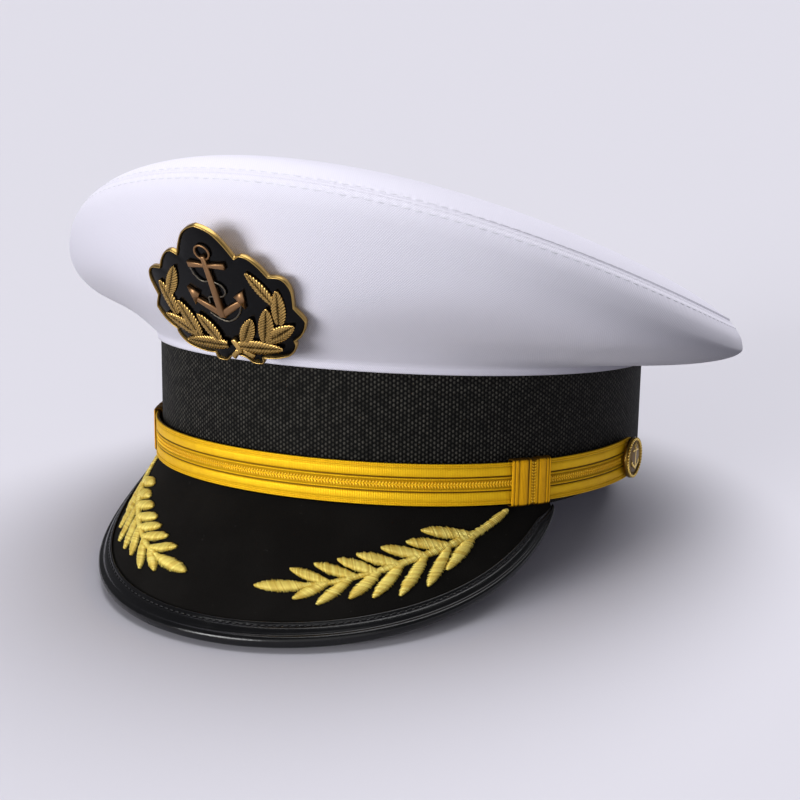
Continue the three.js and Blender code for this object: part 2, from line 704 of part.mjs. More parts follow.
function buttonGeometry() {
  const radius = BUTTON_DIAMETER / 2;
  const field = radius - BUTTON_RIM;
  const { back, low, high, crest, crestIn } = BUTTON_EDGE;
  const top = BUTTON_HEIGHT - BUTTON_DISH;
  const profile = [
    [0, 0], [radius - back, 0], [radius, low], [radius, high], [radius - crestIn, crest],
    [field, crest], [field, crest - BUTTON_DISH], [field * BUTTON_DOME.share, top - BUTTON_DOME.drop],
    [0, top],
  ].map(([x, y]) => new THREE.Vector2(x, y));
  const disc = new THREE.LatheGeometry(profile, BUTTON_STEPS);
  disc.rotateX(Math.PI / 2);
  const length = STRAP_THICKNESS + STRAP_RIDGE + STRAP_STAND + SHANK_SINK;
  const shank = new THREE.CylinderGeometry(SHANK_DIAMETER / 2, SHANK_DIAMETER / 2, length, SHANK_STEPS);
  shank.rotateX(Math.PI / 2);
  shank.translate(0, 0, SHANK_SINK - length / 2);
  const scale = field / (BADGE_HEIGHT / 2);
  const relief = anchorShapes().map((points) => (
    prism(points.map((point) => point.clone().multiplyScalar(scale)), BUTTON_RELIEF_FOOT, top + BUTTON_RELIEF)
  ));
  return join([disc, shank, ...relief]);
}

// Badge

const badgePoint = ({ across, up }) => (
  new THREE.Vector2((across * BADGE_WIDTH) / 2, (up - BADGE_SEAT) * BADGE_HEIGHT)
);

function badgeOutline() {
  const right = BADGE_OUTLINE.map(badgePoint);
  const left = right.slice(1, -1).reverse().map((point) => new THREE.Vector2(-point.x, point.y));
  return [...right, ...left];
}

const INSET_LEAST = 0.7; // keeps a sharp corner from running away

/** A closed outline moved inwards by a distance. */
function inset(points, distance) {
  const turn = THREE.ShapeUtils.isClockWise(points) ? -1 : 1;
  return points.map((point, i) => {
    const before = points[(i + points.length - 1) % points.length];
    const after = points[(i + 1) % points.length];
    const first = point.clone().sub(before).normalize();
    const second = after.clone().sub(point).normalize();
    const normal = new THREE.Vector2(-first.y - second.y, first.x + second.x).normalize();
    const spread = Math.max(INSET_LEAST, Math.sqrt((1 + first.dot(second)) / 2));
    return point.clone().addScaledVector(normal, (turn * distance) / spread);
  });
}

/** A straight bar whose width goes from one end to the other. */
function bar(from, to, startWidth, endWidth) {
  return strip(new THREE.LineCurve(from, to), startWidth, endWidth, 1);
}

/** The middle of the anchor's height. */
function anchorMiddle() {
  return badgePoint({ across: 0, up: (ANCHOR.ringUp + ANCHOR.footUp) / 2 });
}

/** Shapes of the anchor round its own middle: shank, stock, arms and flukes. */
function anchorShapes() {
  const size = (share) => share * BADGE_HEIGHT;
  const top = badgePoint({ across: 0, up: ANCHOR.ringUp });
  const foot = badgePoint({ across: 0, up: ANCHOR.footUp });
  const stock = badgePoint({ across: 0, up: ANCHOR.stockUp });
  const shapes = [bar(top, foot, size(ANCHOR_SHANK.top), size(ANCHOR_SHANK.foot))];
  for (const side of [1, -1]) {
    const arm = badgePoint({ across: 0, up: ANCHOR.armUp });
    const elbow = badgePoint({ across: side * ANCHOR.elbowAcross, up: ANCHOR.elbowUp });
    const fluke = badgePoint({ across: side * ANCHOR.flukeAcross, up: ANCHOR.flukeUp });
    const stockEnd = badgePoint({ across: side * ANCHOR.stockHalf, up: ANCHOR.stockUp });
    const ahead = elbow.clone().sub(arm).normalize();
    const beside = new THREE.Vector2(-ahead.y, ahead.x).multiplyScalar(size(ANCHOR_BARB) / 2);
    shapes.push(
      bar(stock, stockEnd, size(ANCHOR_STOCK.middle), size(ANCHOR_STOCK.end)),
      bar(arm, elbow.clone().addScaledVector(ahead, GAP), size(ANCHOR_ARM.middle), size(ANCHOR_ARM.end)),
      [fluke, elbow.clone().add(beside), elbow.clone().sub(beside)],
    );
  }
  return shapes.map((points) => points.map((point) => point.clone().sub(anchorMiddle())));
}

function anchorGeometry() {
  const middle = anchorMiddle();
  const radius = (ANCHOR_RING * BADGE_HEIGHT) / 2;
  const wire = ANCHOR_HOOP * BADGE_HEIGHT;
  const eye = badgePoint({ across: 0, up: ANCHOR.ringUp }).y - middle.y + radius - wire;
  const solids = anchorShapes().map((points) => prism(points, 0, ANCHOR_THICKNESS));
  const hoop = circle(0, eye, radius, HOOP_STEPS);
  const hollow = circle(0, eye, radius - wire, HOOP_STEPS).reverse();
  solids.push(prism(hoop, 0, ANCHOR_THICKNESS * ANCHOR_RING_PROUD, 1, [hollow]));
  return join(solids).translate(middle.x, middle.y, 0);
}

function wreathGeometry() {
  const solids = [];
  for (const side of [1, -1]) {
    const mirrored = ({ across, up }) => badgePoint({ across: side * across, up });
    const curve = new THREE.CubicBezierCurve(...WREATH_STEM.map(mirrored));
    const stem = strip(curve, WREATH_STEM_WIDTH, WREATH_STEM_WIDTH, HOOP_STEPS);
    solids.push(prism(stem, 0, RELIEF_THICKNESS * WREATH_STEM_PROUD));
    for (const row of WREATH_LEAVES) {
      const base = mirrored(row);
      const run = mirrored({ across: row.tipAcross, up: row.tipUp }).sub(base);
      const outline = leaf(base, Math.atan2(run.y, run.x), run.length(), row.width * WREATH_LEAF_WIDTH);
      solids.push(prism(outline, 0, RELIEF_THICKNESS));
    }
  }
  const tieTop = badgePoint({ across: 0, up: WREATH_TIE.top });
  const tieFoot = badgePoint({ across: 0, up: WREATH_TIE.foot });
  const tie = bar(tieTop, tieFoot, WREATH_TIE.width, WREATH_TIE.width);
  solids.push(prism(tie, 0, RELIEF_THICKNESS * WREATH_TIE.proud));
  return join(solids);
}

const BADGE_SEARCH = { turns: 30, steps: 20 }; // degrees each way, and steps up the crown's side

/** The badge's frame on the front of the crown, clear of it by the gap. */
function badgeFrame() {
  const hem = hemPoint(0, 1);
  const rim = crownTopPoint(0, 1);
  const across = new THREE.Vector3(1, 0, 0);
  const up = rim.clone().sub(hem).normalize().applyAxisAngle(across, BADGE_LEAN);
  const out = across.clone().cross(up).normalize();
  const centre = hem.clone().add(rim).multiplyScalar(0.5);
  let proud = 0;
  for (let turn = -BADGE_SEARCH.turns; turn <= BADGE_SEARCH.turns; turn += 1) {
    for (let step = 0; step <= BADGE_SEARCH.steps; step += 1) {
      const offset = crownSidePoint(turn * DEGREE, step / BADGE_SEARCH.steps).sub(centre);
      const [u, v, w] = [offset.dot(across), offset.dot(up), offset.dot(out)];
      const inside = Math.abs(u) < BADGE_WIDTH / 2 && Math.abs(v) < BADGE_HEIGHT * (1 - BADGE_SEAT);
      if (inside) proud = Math.max(proud, w + u ** 2 / (2 * BADGE_BEND));
    }
  }
  const frame = new THREE.Matrix4().makeBasis(across, up, out);
  return frame.setPosition(centre.addScaledVector(out, proud + GAP + BADGE_STAND));
}

/** Bends a flat piece of the badge and sets it on the crown. */
function onBadge(geometry, lift) {
  const frame = badgeFrame();
  return warp(geometry, (x, y, z) => {
    const turn = x / BADGE_BEND;
    const radius = BADGE_BEND + z + lift;
    const point = new THREE.Vector3(radius * Math.sin(turn), y, radius * Math.cos(turn) - BADGE_BEND);
    return point.applyMatrix4(frame);
  });
}

function badgePlateGeometry() {
  const outline = badgeOutline();
  const pocket = inset(outline, BADGE_BORDER);
  const plate = prism(outline, 0, BADGE_THICKNESS);
  return cut(plate, [prism(pocket, BADGE_THICKNESS - BADGE_POCKET, BADGE_THICKNESS + 1)]);
}

// Materials and nodes

const MATERIALS = {
  twill: { color: 0xf1f0f4, roughness: 0.85, metalness: 0 },
  braid: { color: 0x141414, roughness: 0.8, metalness: 0 },
  felt: { color: 0x151413, roughness: 0.95, metalness: 0 },
  gloss: { color: 0x0a0a0c, roughness: 0.18, metalness: 0 },
  thread: { color: 0xe2c35a, roughness: 0.45, metalness: 0.3 },
  strap: { color: 0xe8b41e, roughness: 0.45, metalness: 0.2 },
  brass: { color: 0xb78a35, roughness: 0.3, metalness: 1 },
  enamel: { color: 0x08080a, roughness: 0.12, metalness: 0 },
};

const enamelLift = BADGE_THICKNESS - BADGE_POCKET + GAP;
const reliefLift = enamelLift + ENAMEL_THICKNESS + GAP;

const PIECES = [
  { name: 'crown_top', material: 'twill', geometry: crownTopGeometry() },
  { name: 'crown_side', material: 'twill', geometry: crownSideGeometry() },
  { name: 'band', material: 'braid', geometry: bandGeometry() },
  { name: 'visor', material: 'felt', geometry: visorGeometry() },
  { name: 'visor_binding', material: 'gloss', geometry: bindingGeometry() },
  { name: 'spray_left', material: 'thread', geometry: sprayGeometry(1) },
  { name: 'spray_right', material: 'thread', geometry: sprayGeometry(-1) },
  { name: 'chin_strap', material: 'strap', geometry: strapGeometry() },
  { name: 'keeper_left', material: 'strap', geometry: keeperGeometry(1) },
  { name: 'keeper_right', material: 'strap', geometry: keeperGeometry(-1) },
  { name: 'button_left', material: 'brass', geometry: buttonGeometry(), frame: buttonFrame(1) },
  { name: 'button_right', material: 'brass', geometry: buttonGeometry(), frame: buttonFrame(-1) },
  { name: 'badge_plate', material: 'brass', geometry: onBadge(badgePlateGeometry(), 0) },
  {
    name: 'badge_enamel',
    material: 'enamel',
    geometry: onBadge(prism(inset(badgeOutline(), BADGE_BORDER + GAP), 0, ENAMEL_THICKNESS), enamelLift),
  },
  { name: 'badge_wreath', material: 'brass', geometry: onBadge(wreathGeometry(), reliefLift) },
  { name: 'badge_anchor', material: 'brass', geometry: onBadge(anchorGeometry(), reliefLift) },
];

/** The tip back at which the visor's lowest edge and the band's back edge stand level. */
function restTilt(worn) {
  const level = (tilt) => {
    const lowest = { front: Infinity, back: Infinity };
    const point = new THREE.Vector3();
    worn.traverse((node) => {
      if (!node.isMesh) return;
      const position = node.geometry.getAttribute('position');
      for (let i = 0; i < position.count; i += 1) {
        point.fromBufferAttribute(position, i).applyMatrix4(node.matrix);
        const end = point.y < 0 ? 'front' : 'back';
        const height = point.z * Math.cos(tilt) - point.y * Math.sin(tilt);
        lowest[end] = Math.min(lowest[end], height);
      }
    });
    return lowest.front - lowest.back;
  };
  let [low, high] = [0, Math.PI / 4];
  for (let step = 0; step < 40; step += 1) {
    const middle = (low + high) / 2;
    if (level(middle) < 0) low = middle;
    else high = middle;
  }
  return (low + high) / 2;
}

const hat = new THREE.Group();
hat.name = 'captain_hat';
const worn = new THREE.Group();
for (const piece of PIECES) {
  const mesh = new THREE.Mesh(piece.geometry, new THREE.MeshStandardMaterial(MATERIALS[piece.material]));
  mesh.name = piece.name;
  if (piece.frame) mesh.applyMatrix4(piece.frame);
  mesh.updateMatrix();
  worn.add(mesh);
}
worn.rotation.x = -restTilt(worn);
hat.add(worn);

// The origin is the middle of the hat's base, on the surface that it rests on
hat.updateMatrixWorld(true);
const bounds = new THREE.Box3().setFromObject(hat, true);
worn.position.set(
  -(bounds.min.x + bounds.max.x) / 2,
  -(bounds.min.y + bounds.max.y) / 2,
  -bounds.min.z,
);
hat.updateMatrixWorld(true);

export default hat;
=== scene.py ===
"""Dresses the captain hat: white twill crown, woven band, felt visor, gold strap, sprays and badge.

Forms are worked out in millimetres on the worn hat, with the band's lower edge on z = 0 and the
front towards -Y, and each piece is then tipped back onto the surface and put in metres.
"""

import logging
import math
from collections.abc import Callable, Sequence
from dataclasses import dataclass, field
from enum import Enum
from typing import Protocol

import bmesh
import bpy
from mathutils import Matrix, Vector, noise


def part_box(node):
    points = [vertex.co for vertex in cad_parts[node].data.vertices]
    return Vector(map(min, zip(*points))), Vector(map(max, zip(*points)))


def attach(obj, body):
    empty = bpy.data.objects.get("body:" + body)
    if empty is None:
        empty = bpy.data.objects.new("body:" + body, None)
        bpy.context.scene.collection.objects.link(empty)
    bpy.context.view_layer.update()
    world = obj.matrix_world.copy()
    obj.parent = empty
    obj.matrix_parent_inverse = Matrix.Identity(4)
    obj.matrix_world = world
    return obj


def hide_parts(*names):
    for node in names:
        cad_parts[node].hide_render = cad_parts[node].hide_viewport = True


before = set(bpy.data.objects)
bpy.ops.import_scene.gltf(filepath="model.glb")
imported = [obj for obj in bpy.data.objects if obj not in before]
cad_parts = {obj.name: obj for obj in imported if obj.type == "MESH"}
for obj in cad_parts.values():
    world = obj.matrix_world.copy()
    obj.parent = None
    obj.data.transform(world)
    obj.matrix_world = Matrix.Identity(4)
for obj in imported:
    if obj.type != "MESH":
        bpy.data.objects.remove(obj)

log = logging.getLogger("captain_hat")

MM = 0.001
IMAGE_SIDE = 800
WELD = 0.002
TURN_STEP = 0.01  # for directions worked out from neighbours
COPY_TONE = 0.6  # the darkest tone of a repeated shape

Colour = tuple[float, float, float, float]
Material = bpy.types.Material
Mesh = bmesh.types.BMesh
Pair = tuple[float, float]


class Side(Enum):
    """A side of the hat, by the wearer's hands."""

    LEFT = 1
    RIGHT = -1


class Slot(Enum):
    """The record's material slots."""

    TWILL = "twill"
    BRAID = "braid"
    FELT = "felt"
    GLOSS = "gloss"
    THREAD = "thread"
    STRAP = "strap"
    BRASS = "brass"
    ENAMEL = "enamel"


def mix(start: float, end: float, share: float) -> float:
    """Returns the value a share of the way from start to end."""
    return start + (end - start) * share


def bell(value: float, middle: float, spread: float) -> float:
    """Returns a smooth bump of height 1 round a middle."""
    return math.exp(-(((value - middle) / spread) ** 2))


# The hat's forms, in millimetres


@dataclass(frozen=True)
class Round:
    """A value that goes smoothly from the front over the side to the back, with its own on the chest."""

    front: float
    side: float
    back: float
    chest: float
    half_angle: float = math.radians(60)

    def at(self, angle: float) -> float:
        """Finds the value at a place round the hat.

        Args:
            angle: Turn from the front.

        Returns:
            The value there.
        """
        middle = (self.front + self.back) / 2
        level = (middle + self.side) / 2
        value = level + (self.front - self.back) / 2 * math.cos(angle)
        value += (middle - level) * math.cos(2 * angle)
        turn = abs(math.remainder(angle, 2 * math.pi))
        return mix(value, self.chest, math.cos(math.pi / 2 * min(1.0, turn / self.half_angle)) ** 2)


@dataclass(frozen=True)
class BandForm:
    """The head band: an oval ring that leans forwards and widens a little to its top."""

    half_width: float = 92.0
    half_length: float = 98.0
    height: float = 48.0
    wall: float = 2.2
    lean: float = math.radians(4)
    flare: float = math.radians(0.5)
    arch: float = 6.0
    arch_start: float = math.radians(50)
    arch_end: float = math.radians(150)

    def edge(self, angle: float) -> float:
        """Finds the height of the lower edge, which arches up over the ears.

        Args:
            angle: Turn from the front.

        Returns:
            The height over the band's lowest line.
        """
        turn = abs(math.remainder(angle, 2 * math.pi))
        along = (turn - self.arch_start) / (self.arch_end - self.arch_start)
        return self.arch * math.sin(math.pi * along) ** 2 if 0 < along < 1 else 0.0

    def ring(self, angle: float, height: float, off: float = 0.0) -> Vector:
        """Finds a point on the band's outside.

        Args:
            angle: Turn from the front towards the wearer's left.
            height: Height above the band's lower edge.
            off: Distance out from the band.

        Returns:
            The point on the worn hat.
        """
        wider = math.tan(self.flare) * height + off
        return Vector((
            (self.half_width + wider) * math.sin(angle),
            -(self.half_length + wider) * math.cos(angle) - math.tan(self.lean) * height,
            height,
        ))

    def arc(self, angle: float) -> float:
        """Returns how many millimetres a radian takes along the band at an angle."""
        return math.hypot(self.half_width * math.cos(angle), self.half_length * math.sin(angle))


@dataclass(frozen=True)
class RestPose:
    """The tip back from the worn hat to the hat at rest on its visor and the back of its band."""

    tilt: float
    forward: float
    lift: float

    @classmethod
    def from_frame(cls, band: BandForm) -> "RestPose":
        """Works the pose out from the box that the band takes in the frame.

        Args:
            band: The worn band's form.

        Returns:
            The pose that sets the worn band in that box.
        """
        low, high = (Vector(corner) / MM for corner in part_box("band"))
        front = band.ring(0.0, band.height)
        back = band.ring(math.pi, band.height)
        reach = band.half_length - front.y
        span = math.hypot(reach, band.height)
        tilt = math.asin((high.z - low.z) / span) - math.atan2(band.height, reach)
        return cls(
            tilt=tilt,
            forward=high.y - back.y * math.cos(tilt) - back.z * math.sin(tilt),
            lift=low.z + band.half_length * math.sin(tilt),
        )

    def matrix(self) -> Matrix:
        """Returns the move from the worn hat's millimetres to the frame's metres."""
        turn = Matrix.Rotation(-self.tilt, 4, "X")
        shift = Matrix.Translation((0.0, self.forward * MM, self.lift * MM))
        return shift @ turn @ Matrix.Scale(MM, 4)


@dataclass(frozen=True)
class Fold:
    """A soft valley in the crown's side."""

    angle: float
    spread: float
    height: float
    reach: float
    depth: float


@dataclass(frozen=True)
class CrownForm:
    """The cloth crown, from its hem on the band over the rolled rim to the middle of its top."""

    band: BandForm
    half_width: float = 133.0
    half_length: float = 124.0
    forward: float = 5.0
    wall: float = 1.6
    hem: float = 2.5
    proud: float = 1.2
    rise_front: float = 52.0
    rise_side: float = 13.0
    rise_back: float = 20.0
    crest: float = 1.7
    roll_front: float = 34.0
    roll_back: float = 12.0
    fullness: float = 5.0
    sag: float = 1.0
    seam_inset: float = 4.8
    rim_pull: Round = Round(0.3, 0.6, 0.6, 0.63)
    hem_pull: float = 0.6
    hem_slope: Round = Round(1.3, -0.1, -1.0, 0.36)
    gap: float = 0.3
    folds: tuple[Fold, ...] = (
        Fold(math.radians(66), math.radians(22), 9.0, 3.6, 1.0),
        Fold(math.radians(-66), math.radians(22), 9.0, 3.6, 1.0),
        Fold(math.radians(150), math.radians(30), 11.0, 5.0, 0.9),
        Fold(math.radians(-146), math.radians(26), 10.0, 5.0, 0.8),
    )
    fold_dip: float = 0.35
    ease: float = 0.5
    ease_scale: float = 0.018
    ease_rise: float = 8.0

    def rim_height(self, angle: float, share: float) -> float:
        """Finds the widest line's height, carried in to a share of the way out.

        Args:
            angle: Turn from the front.
            share: Share of the way out.

        Returns:
            The height on the worn hat.
        """
        middle = (self.rise_front + self.rise_back) / 2
        level = (middle + self.rise_side) / 2
        first = (self.rise_front - self.rise_back) / 2 + self.crest
        second = (middle - self.rise_side) / 2
        return (
            self.band.height + level
            + share * first * math.cos(angle)
            + share**2 * second * math.cos(2 * angle)
            - share**3 * self.crest * math.cos(3 * angle)
        )

    def top_point(self, angle: float, share: float) -> Vector:
        """Finds a point of the top, from its middle (0) to the widest line (1).

        Args:
            angle: Turn from the front.
            share: Share of the way out.

        Returns:
            The point on the worn hat.
        """
        level = (self.roll_front + self.roll_back) / 2
        tilt = (self.roll_front - self.roll_back) / 2
        rise = level + share * tilt * math.cos(angle)
        roll = math.sqrt(max(0.0, 1 - share**self.fullness))
        return Vector((
            share * self.half_width * math.sin(angle),
            -self.forward - share * self.half_length * math.cos(angle),
            self.rim_height(angle, share) + rise * roll - self.sag * (1 - share**2) ** 2,
        ))

    def hem_point(self, angle: float, share: float) -> Vector:
        """Returns a point of the upright hem, from the band (0) to its top (1)."""
        height = self.band.height + self.gap + share * self.hem
        return self.band.ring(angle, height, self.proud + share * self.gap)

    def side_point(self, angle: float, share: float) -> Vector:
        """Finds a point of the side, from the top of the hem (0) to the widest line (1).

        Args:
            angle: Turn from the front.
            share: Place on the side's curve.

        Returns:
            The point on the worn hat, before any fold.
        """
        hem, rim = self.hem_point(angle, 1), self.top_point(angle, 1)
        rise = rim.z - hem.z
        under = Vector((rim.x, rim.y, rim.z - self.rim_pull.at(angle) * rise))
        over = hem.lerp(rim, self.hem_pull)
        over.z = hem.z + self.hem_pull * self.hem_slope.at(angle) * rise
        rest = 1 - share
        return (
            hem * rest**3 + over * (3 * rest**2 * share) + under * (3 * rest * share**2) + rim * share**3
        )

    def seam_share(self, angle: float, inset: float) -> float:
        """Returns the share of the way out that lies an inset in from the widest line."""
        reach = math.hypot(self.half_width * math.sin(angle), self.half_length * math.cos(angle))
        return 1 - inset / reach

    def folded(self, point: Vector, angle: float) -> Vector:
        """Presses the side's folds into a point of it.

        Args:
            point: A point of the plain side.
            angle: Its turn from the front.

        Returns:
            The point with the folds in it.
        """
        above = point.z - self.band.height
        depth = 0.0
        for fold in self.folds:
            apart = math.remainder(angle - fold.angle, 2 * math.pi)
            depth += fold.depth * bell(apart, 0, fold.spread) * bell(above, fold.height, fold.reach)
        ease = noise.noise(point * self.ease_scale) * self.ease * min(1.0, above / self.ease_rise)
        outward = Vector((math.sin(angle), -math.cos(angle), -self.fold_dip))
        return point + outward * (ease - depth)


@dataclass(frozen=True)
class VisorForm:
    """The visor: straight rulings that run down and forwards from the band."""

    band: BandForm
    reach_front: float = 56.5
    reach_end: float = 3.0
    half_angle: float = math.radians(66.4)
    fullness: float = 0.87
    drop_front: float = math.radians(50.5)
    drop_gain: float = math.radians(17.5)
    thickness: float = 2.6
    seat: float = 2.2
    taper: float = 0.45
    undercut_most: float = 0.9
    gap: float = 0.3

    @property
    def mid_radius(self) -> float:
        """The radius at which flat patterns keep their true width."""
        width = (self.band.half_width + self.band.half_length) / 2
        return width + self.reach_front * math.cos(self.drop_front) / 2

    def reach(self, angle: float) -> float:
        """Returns the length of the ruling at an angle."""
        fill = max(0.0, 1 - (angle / self.half_angle) ** 2) ** self.fullness
        return mix(self.reach_end, self.reach_front, fill)

    def drop(self, angle: float) -> float:
        """Returns the slope of the ruling at an angle."""
        return self.drop_front + self.drop_gain * (1 - math.cos(angle))

    def direction(self, angle: float) -> Vector:
        """Returns the unit vector along the ruling at an angle."""
        drop = self.drop(angle)
        return Vector((
            math.cos(drop) * math.sin(angle),
            -math.cos(drop) * math.cos(angle),
            -math.sin(drop),
        ))

    def depth(self, angle: float) -> float:
        """Returns the sheet's thickness at an angle."""
        return min(self.thickness, self.taper * self.reach(angle))

    def undercut(self, angle: float) -> float:
        """Returns how far out the lower face starts, so that its end lies along the band."""
        slip = self.depth(angle) * math.tan(self.drop(angle))
        return min(slip, self.reach(angle) * self.undercut_most)

    def on_ruling(self, angle: float, reach: float) -> Vector:
        """Returns the point a distance along the ruling at an angle."""
        return self.band.ring(angle, self.seat, self.gap) + self.direction(angle) * reach

    def point(self, angle: float, reach: float, lift: float = 0.0) -> Vector:
        """Finds a point over the visor's top face.

        Args:
            angle: Turn from the front.
            reach: Distance out along the ruling.
            lift: Height over the face.

        Returns:
            The point on the worn hat.
        """
        around = self.on_ruling(angle + TURN_STEP, reach) - self.on_ruling(angle - TURN_STEP, reach)
        normal = around.cross(self.direction(angle)).normalized()
        if normal.z < 0:
            normal.negate()
        return self.on_ruling(angle, reach) + normal * lift

    def on_face(self, spot: Vector) -> Vector:
        """Returns the point over the visor for a spot of a flat pattern and its lift."""
        return self.point(spot.x / self.mid_radius, spot.y, spot.z)


@dataclass(frozen=True)
class StrapForm:
    """The chin strap's way along the front of the band."""

    band: BandForm
    width: float = 15.0
    rise: float = 2.2
    lift: float = 4.0
    stand: float = 1.2
    thickness: float = 1.1
    ridge: float = 0.4
    keeper_angle: float = math.radians(60)
    keeper_length: float = 16.0
    button_angle: float = math.radians(94)
    end: float = 5.0

    @property
    def face(self) -> float:
        """The strap's full thickness."""
        return self.thickness + self.ridge

    def point(self, angle: float, up: float, out: float) -> Vector:
        """Finds a point of the strap.

        Args:
            angle: Turn from the front.
            up: Distance up from its lower edge.
            out: Distance out from its back.

        Returns:
            The point on the worn hat.
        """
        bottom = self.rise + self.lift * (1 - math.cos(angle)) ** 2
        return self.band.ring(angle, bottom + up, self.stand + out)

    def frame(self, angle: float, up: float, out: float) -> Matrix:
        """Finds a frame on the strap, with X along it and Z out of the band.

        Args:
            angle: Turn from the front.
            up: Distance up from its lower edge.
            out: Distance out from its back.

        Returns:
            The frame as a matrix.
        """
        ahead = self.point(angle + TURN_STEP, up, 0) - self.point(angle - TURN_STEP, up, 0)
        return facing(self.point(angle, up, out), ahead, self.point(angle, up, 1) - self.point(angle, up, 0))


# Making meshes


def outwards(bm: Mesh, inner: Vector) -> None:
    """Turns a mesh's faces away from a point inside it.

    Args:
        bm: The mesh.
        inner: A point that the faces look away from.
    """
    bmesh.ops.recalc_face_normals(bm, faces=bm.faces)
    bm.normal_update()
    away = sum(face.normal.dot(face.calc_center_median() - inner) * face.calc_area() for face in bm.faces)
    if away < 0:
        bmesh.ops.reverse_faces(bm, faces=bm.faces)


@dataclass
class Loft:
    """A sheet of quads laid over the hat.

    Its map "weave" holds metres of cloth along the rows and up the columns. Its map "edge" holds
    the metres along the last row and the distance down from that row.
    """

    columns: int
    rows: int
    place: Callable[[float, float], Vector]
    inner: Vector = field(default_factory=Vector)
    repeat: float = 0.0
    girth_row: int = 0

    def build(self) -> Mesh:
        """Makes the sheet and welds the edges that meet.

        Returns:
            The mesh, with its faces away from the inner point.
        """
        spots = [
            [self.place(i / self.columns, j / self.rows) for j in range(self.rows + 1)]
            for i in range(self.columns + 1)
        ]
        along = [self._lengths(column) for column in spots]
        around = self._lengths([column[self.girth_row] for column in spots])
        if self.repeat:
            turns = max(1, round(around[-1] / self.repeat / 2)) * 2
            around = [length * turns * self.repeat / around[-1] for length in around]
        bm = bmesh.new()
        bmesh.ops.create_grid(bm, x_segments=self.columns, y_segments=self.rows, size=0.5)
        weave = bm.loops.layers.uv.new("weave")
        edge = bm.loops.layers.uv.new("edge")
        border = self._lengths([column[-1] for column in spots])
        for face in bm.faces:
            for loop in face.loops:
                i, j = self._cell(loop.vert)
                loop[weave].uv = (around[i] * MM, along[i][j] * MM)
                loop[edge].uv = (border[i] * MM, (along[i][-1] - along[i][j]) * MM)
        for vert in bm.verts:
            i, j = self._cell(vert)
            vert.co = spots[i][j]
        bmesh.ops.remove_doubles(bm, verts=bm.verts, dist=WELD)
        outwards(bm, self.inner)
        return bm

    def solid(self) -> Mesh:
        """Makes the sheet and closes its open ends.

        Returns:
            A closed mesh.
        """
        bm = self.build()
        close_ends(bm)
        return bm

    def _cell(self, vert: bmesh.types.BMVert) -> tuple[int, int]:
        """Returns the column and row of a vertex of the flat grid."""
        return round((vert.co.x + 0.5) * self.columns), round((vert.co.y + 0.5) * self.rows)

    @staticmethod
    def _lengths(points: Sequence[Vector]) -> list[float]:
        """Returns the running length along a row of points."""
        lengths = [0.0]
        for start, end in zip(points, points[1:]):
            lengths.append(lengths[-1] + (end - start).length)
        return lengths


def close_ends(bm: Mesh) -> None:
    """Fills the open ends of a swept mesh, and turns its faces outwards.

    Args:
        bm: The swept mesh.
    """
    rim = [edge for edge in bm.edges if edge.is_boundary]
    bmesh.ops.holes_fill(bm, edges=rim, sides=0)
    bmesh.ops.recalc_face_normals(bm, faces=bm.faces)


def sweep(columns: int, section: Sequence[Pair], place: Callable[[float, float, float], Vector]) -> Mesh:
    """Sweeps a closed section along a path.

    Args:
        columns: Steps along the path.
        section: The section's corners, in its own two directions.
        place: Gives a point from the share of the path and the two section values.

    Returns:
        A closed mesh.
    """
    loop = [*section, section[0]]

    def at(u: float, v: float) -> Vector:
        """Returns the point for a place of the sheet."""
        return place(u, *loop[round(v * len(section))])

    return Loft(columns, len(section), at).solid()


def toned(bm: Mesh, tone: Callable[[Vector], float]) -> Mesh:
    """Gives every vertex its own lightness, which the finishes read.

    Args:
        bm: The mesh.
        tone: Gives the lightness, from 0 to 1, at a point of it.

    Returns:
        The same mesh.
    """
    layer = bm.verts.layers.float.get("tone") or bm.verts.layers.float.new("tone")
    for vert in bm.verts:
        vert[layer] = tone(vert.co)
    return bm


def merged(parts: Sequence[Mesh]) -> Mesh:
    """Joins meshes into one and frees them.

    Args:
        parts: The meshes.

    Returns:
        One mesh that holds them all.
    """
    whole = bmesh.new()
    for part in parts:
        carrier = bpy.data.meshes.new("carrier")
        part.to_mesh(carrier)
        part.free()
        whole.from_mesh(carrier)
        bpy.data.meshes.remove(carrier)
    return whole


def strewn(seed: float) -> float:
    """Returns a fixed value between 0 and 1 for a number, unlike those of its neighbours."""
    return math.fabs(math.fmod(math.sin(seed * 12.9898 + 4.1) * 43758.5453, 1.0))


def repeated(template: Mesh, moves: Sequence[Callable[[Vector], Vector]], tones: Sequence[float]) -> Mesh:
    """Repeats a small shape, as one mesh.

    Args:
        template: The small shape, which is freed.
        moves: Gives for each copy the place of one of its points.
        tones: The lightness of each copy.

    Returns:
        The copies as one mesh.
    """
    template.verts.index_update()
    corners = [vert.co.copy() for vert in template.verts]
    faces = [[vert.index for vert in face.verts] for face in template.faces]
    template.free()
    count = len(corners)
    verts = [move(corner) for move in moves for corner in corners]
    polygons = [[i + n * count for i in face] for n in range(len(moves)) for face in faces]
    carrier = bpy.data.meshes.new("carrier")
    carrier.from_pydata(verts, [], polygons)
    bm = bmesh.new()
    bm.from_mesh(carrier)
    bpy.data.meshes.remove(carrier)
    layer = bm.verts.layers.float.new("tone")
    for index, vert in enumerate(bm.verts):
        vert[layer] = tones[index // count]
    return bm


def scatter(template: Mesh, places: Sequence[Matrix]) -> Mesh:
    """Repeats a small shape at many places, each copy with a tone of its own.

    Args:
        template: The small shape, about its own origin.
        places: One matrix for each copy.

    Returns:
        The copies as one mesh.
    """
    moves = [lambda corner, place=place: place @ corner for place in places]
    return repeated(template, moves, [mix(COPY_TONE, 1.0, strewn(i)) for i in range(len(places))])


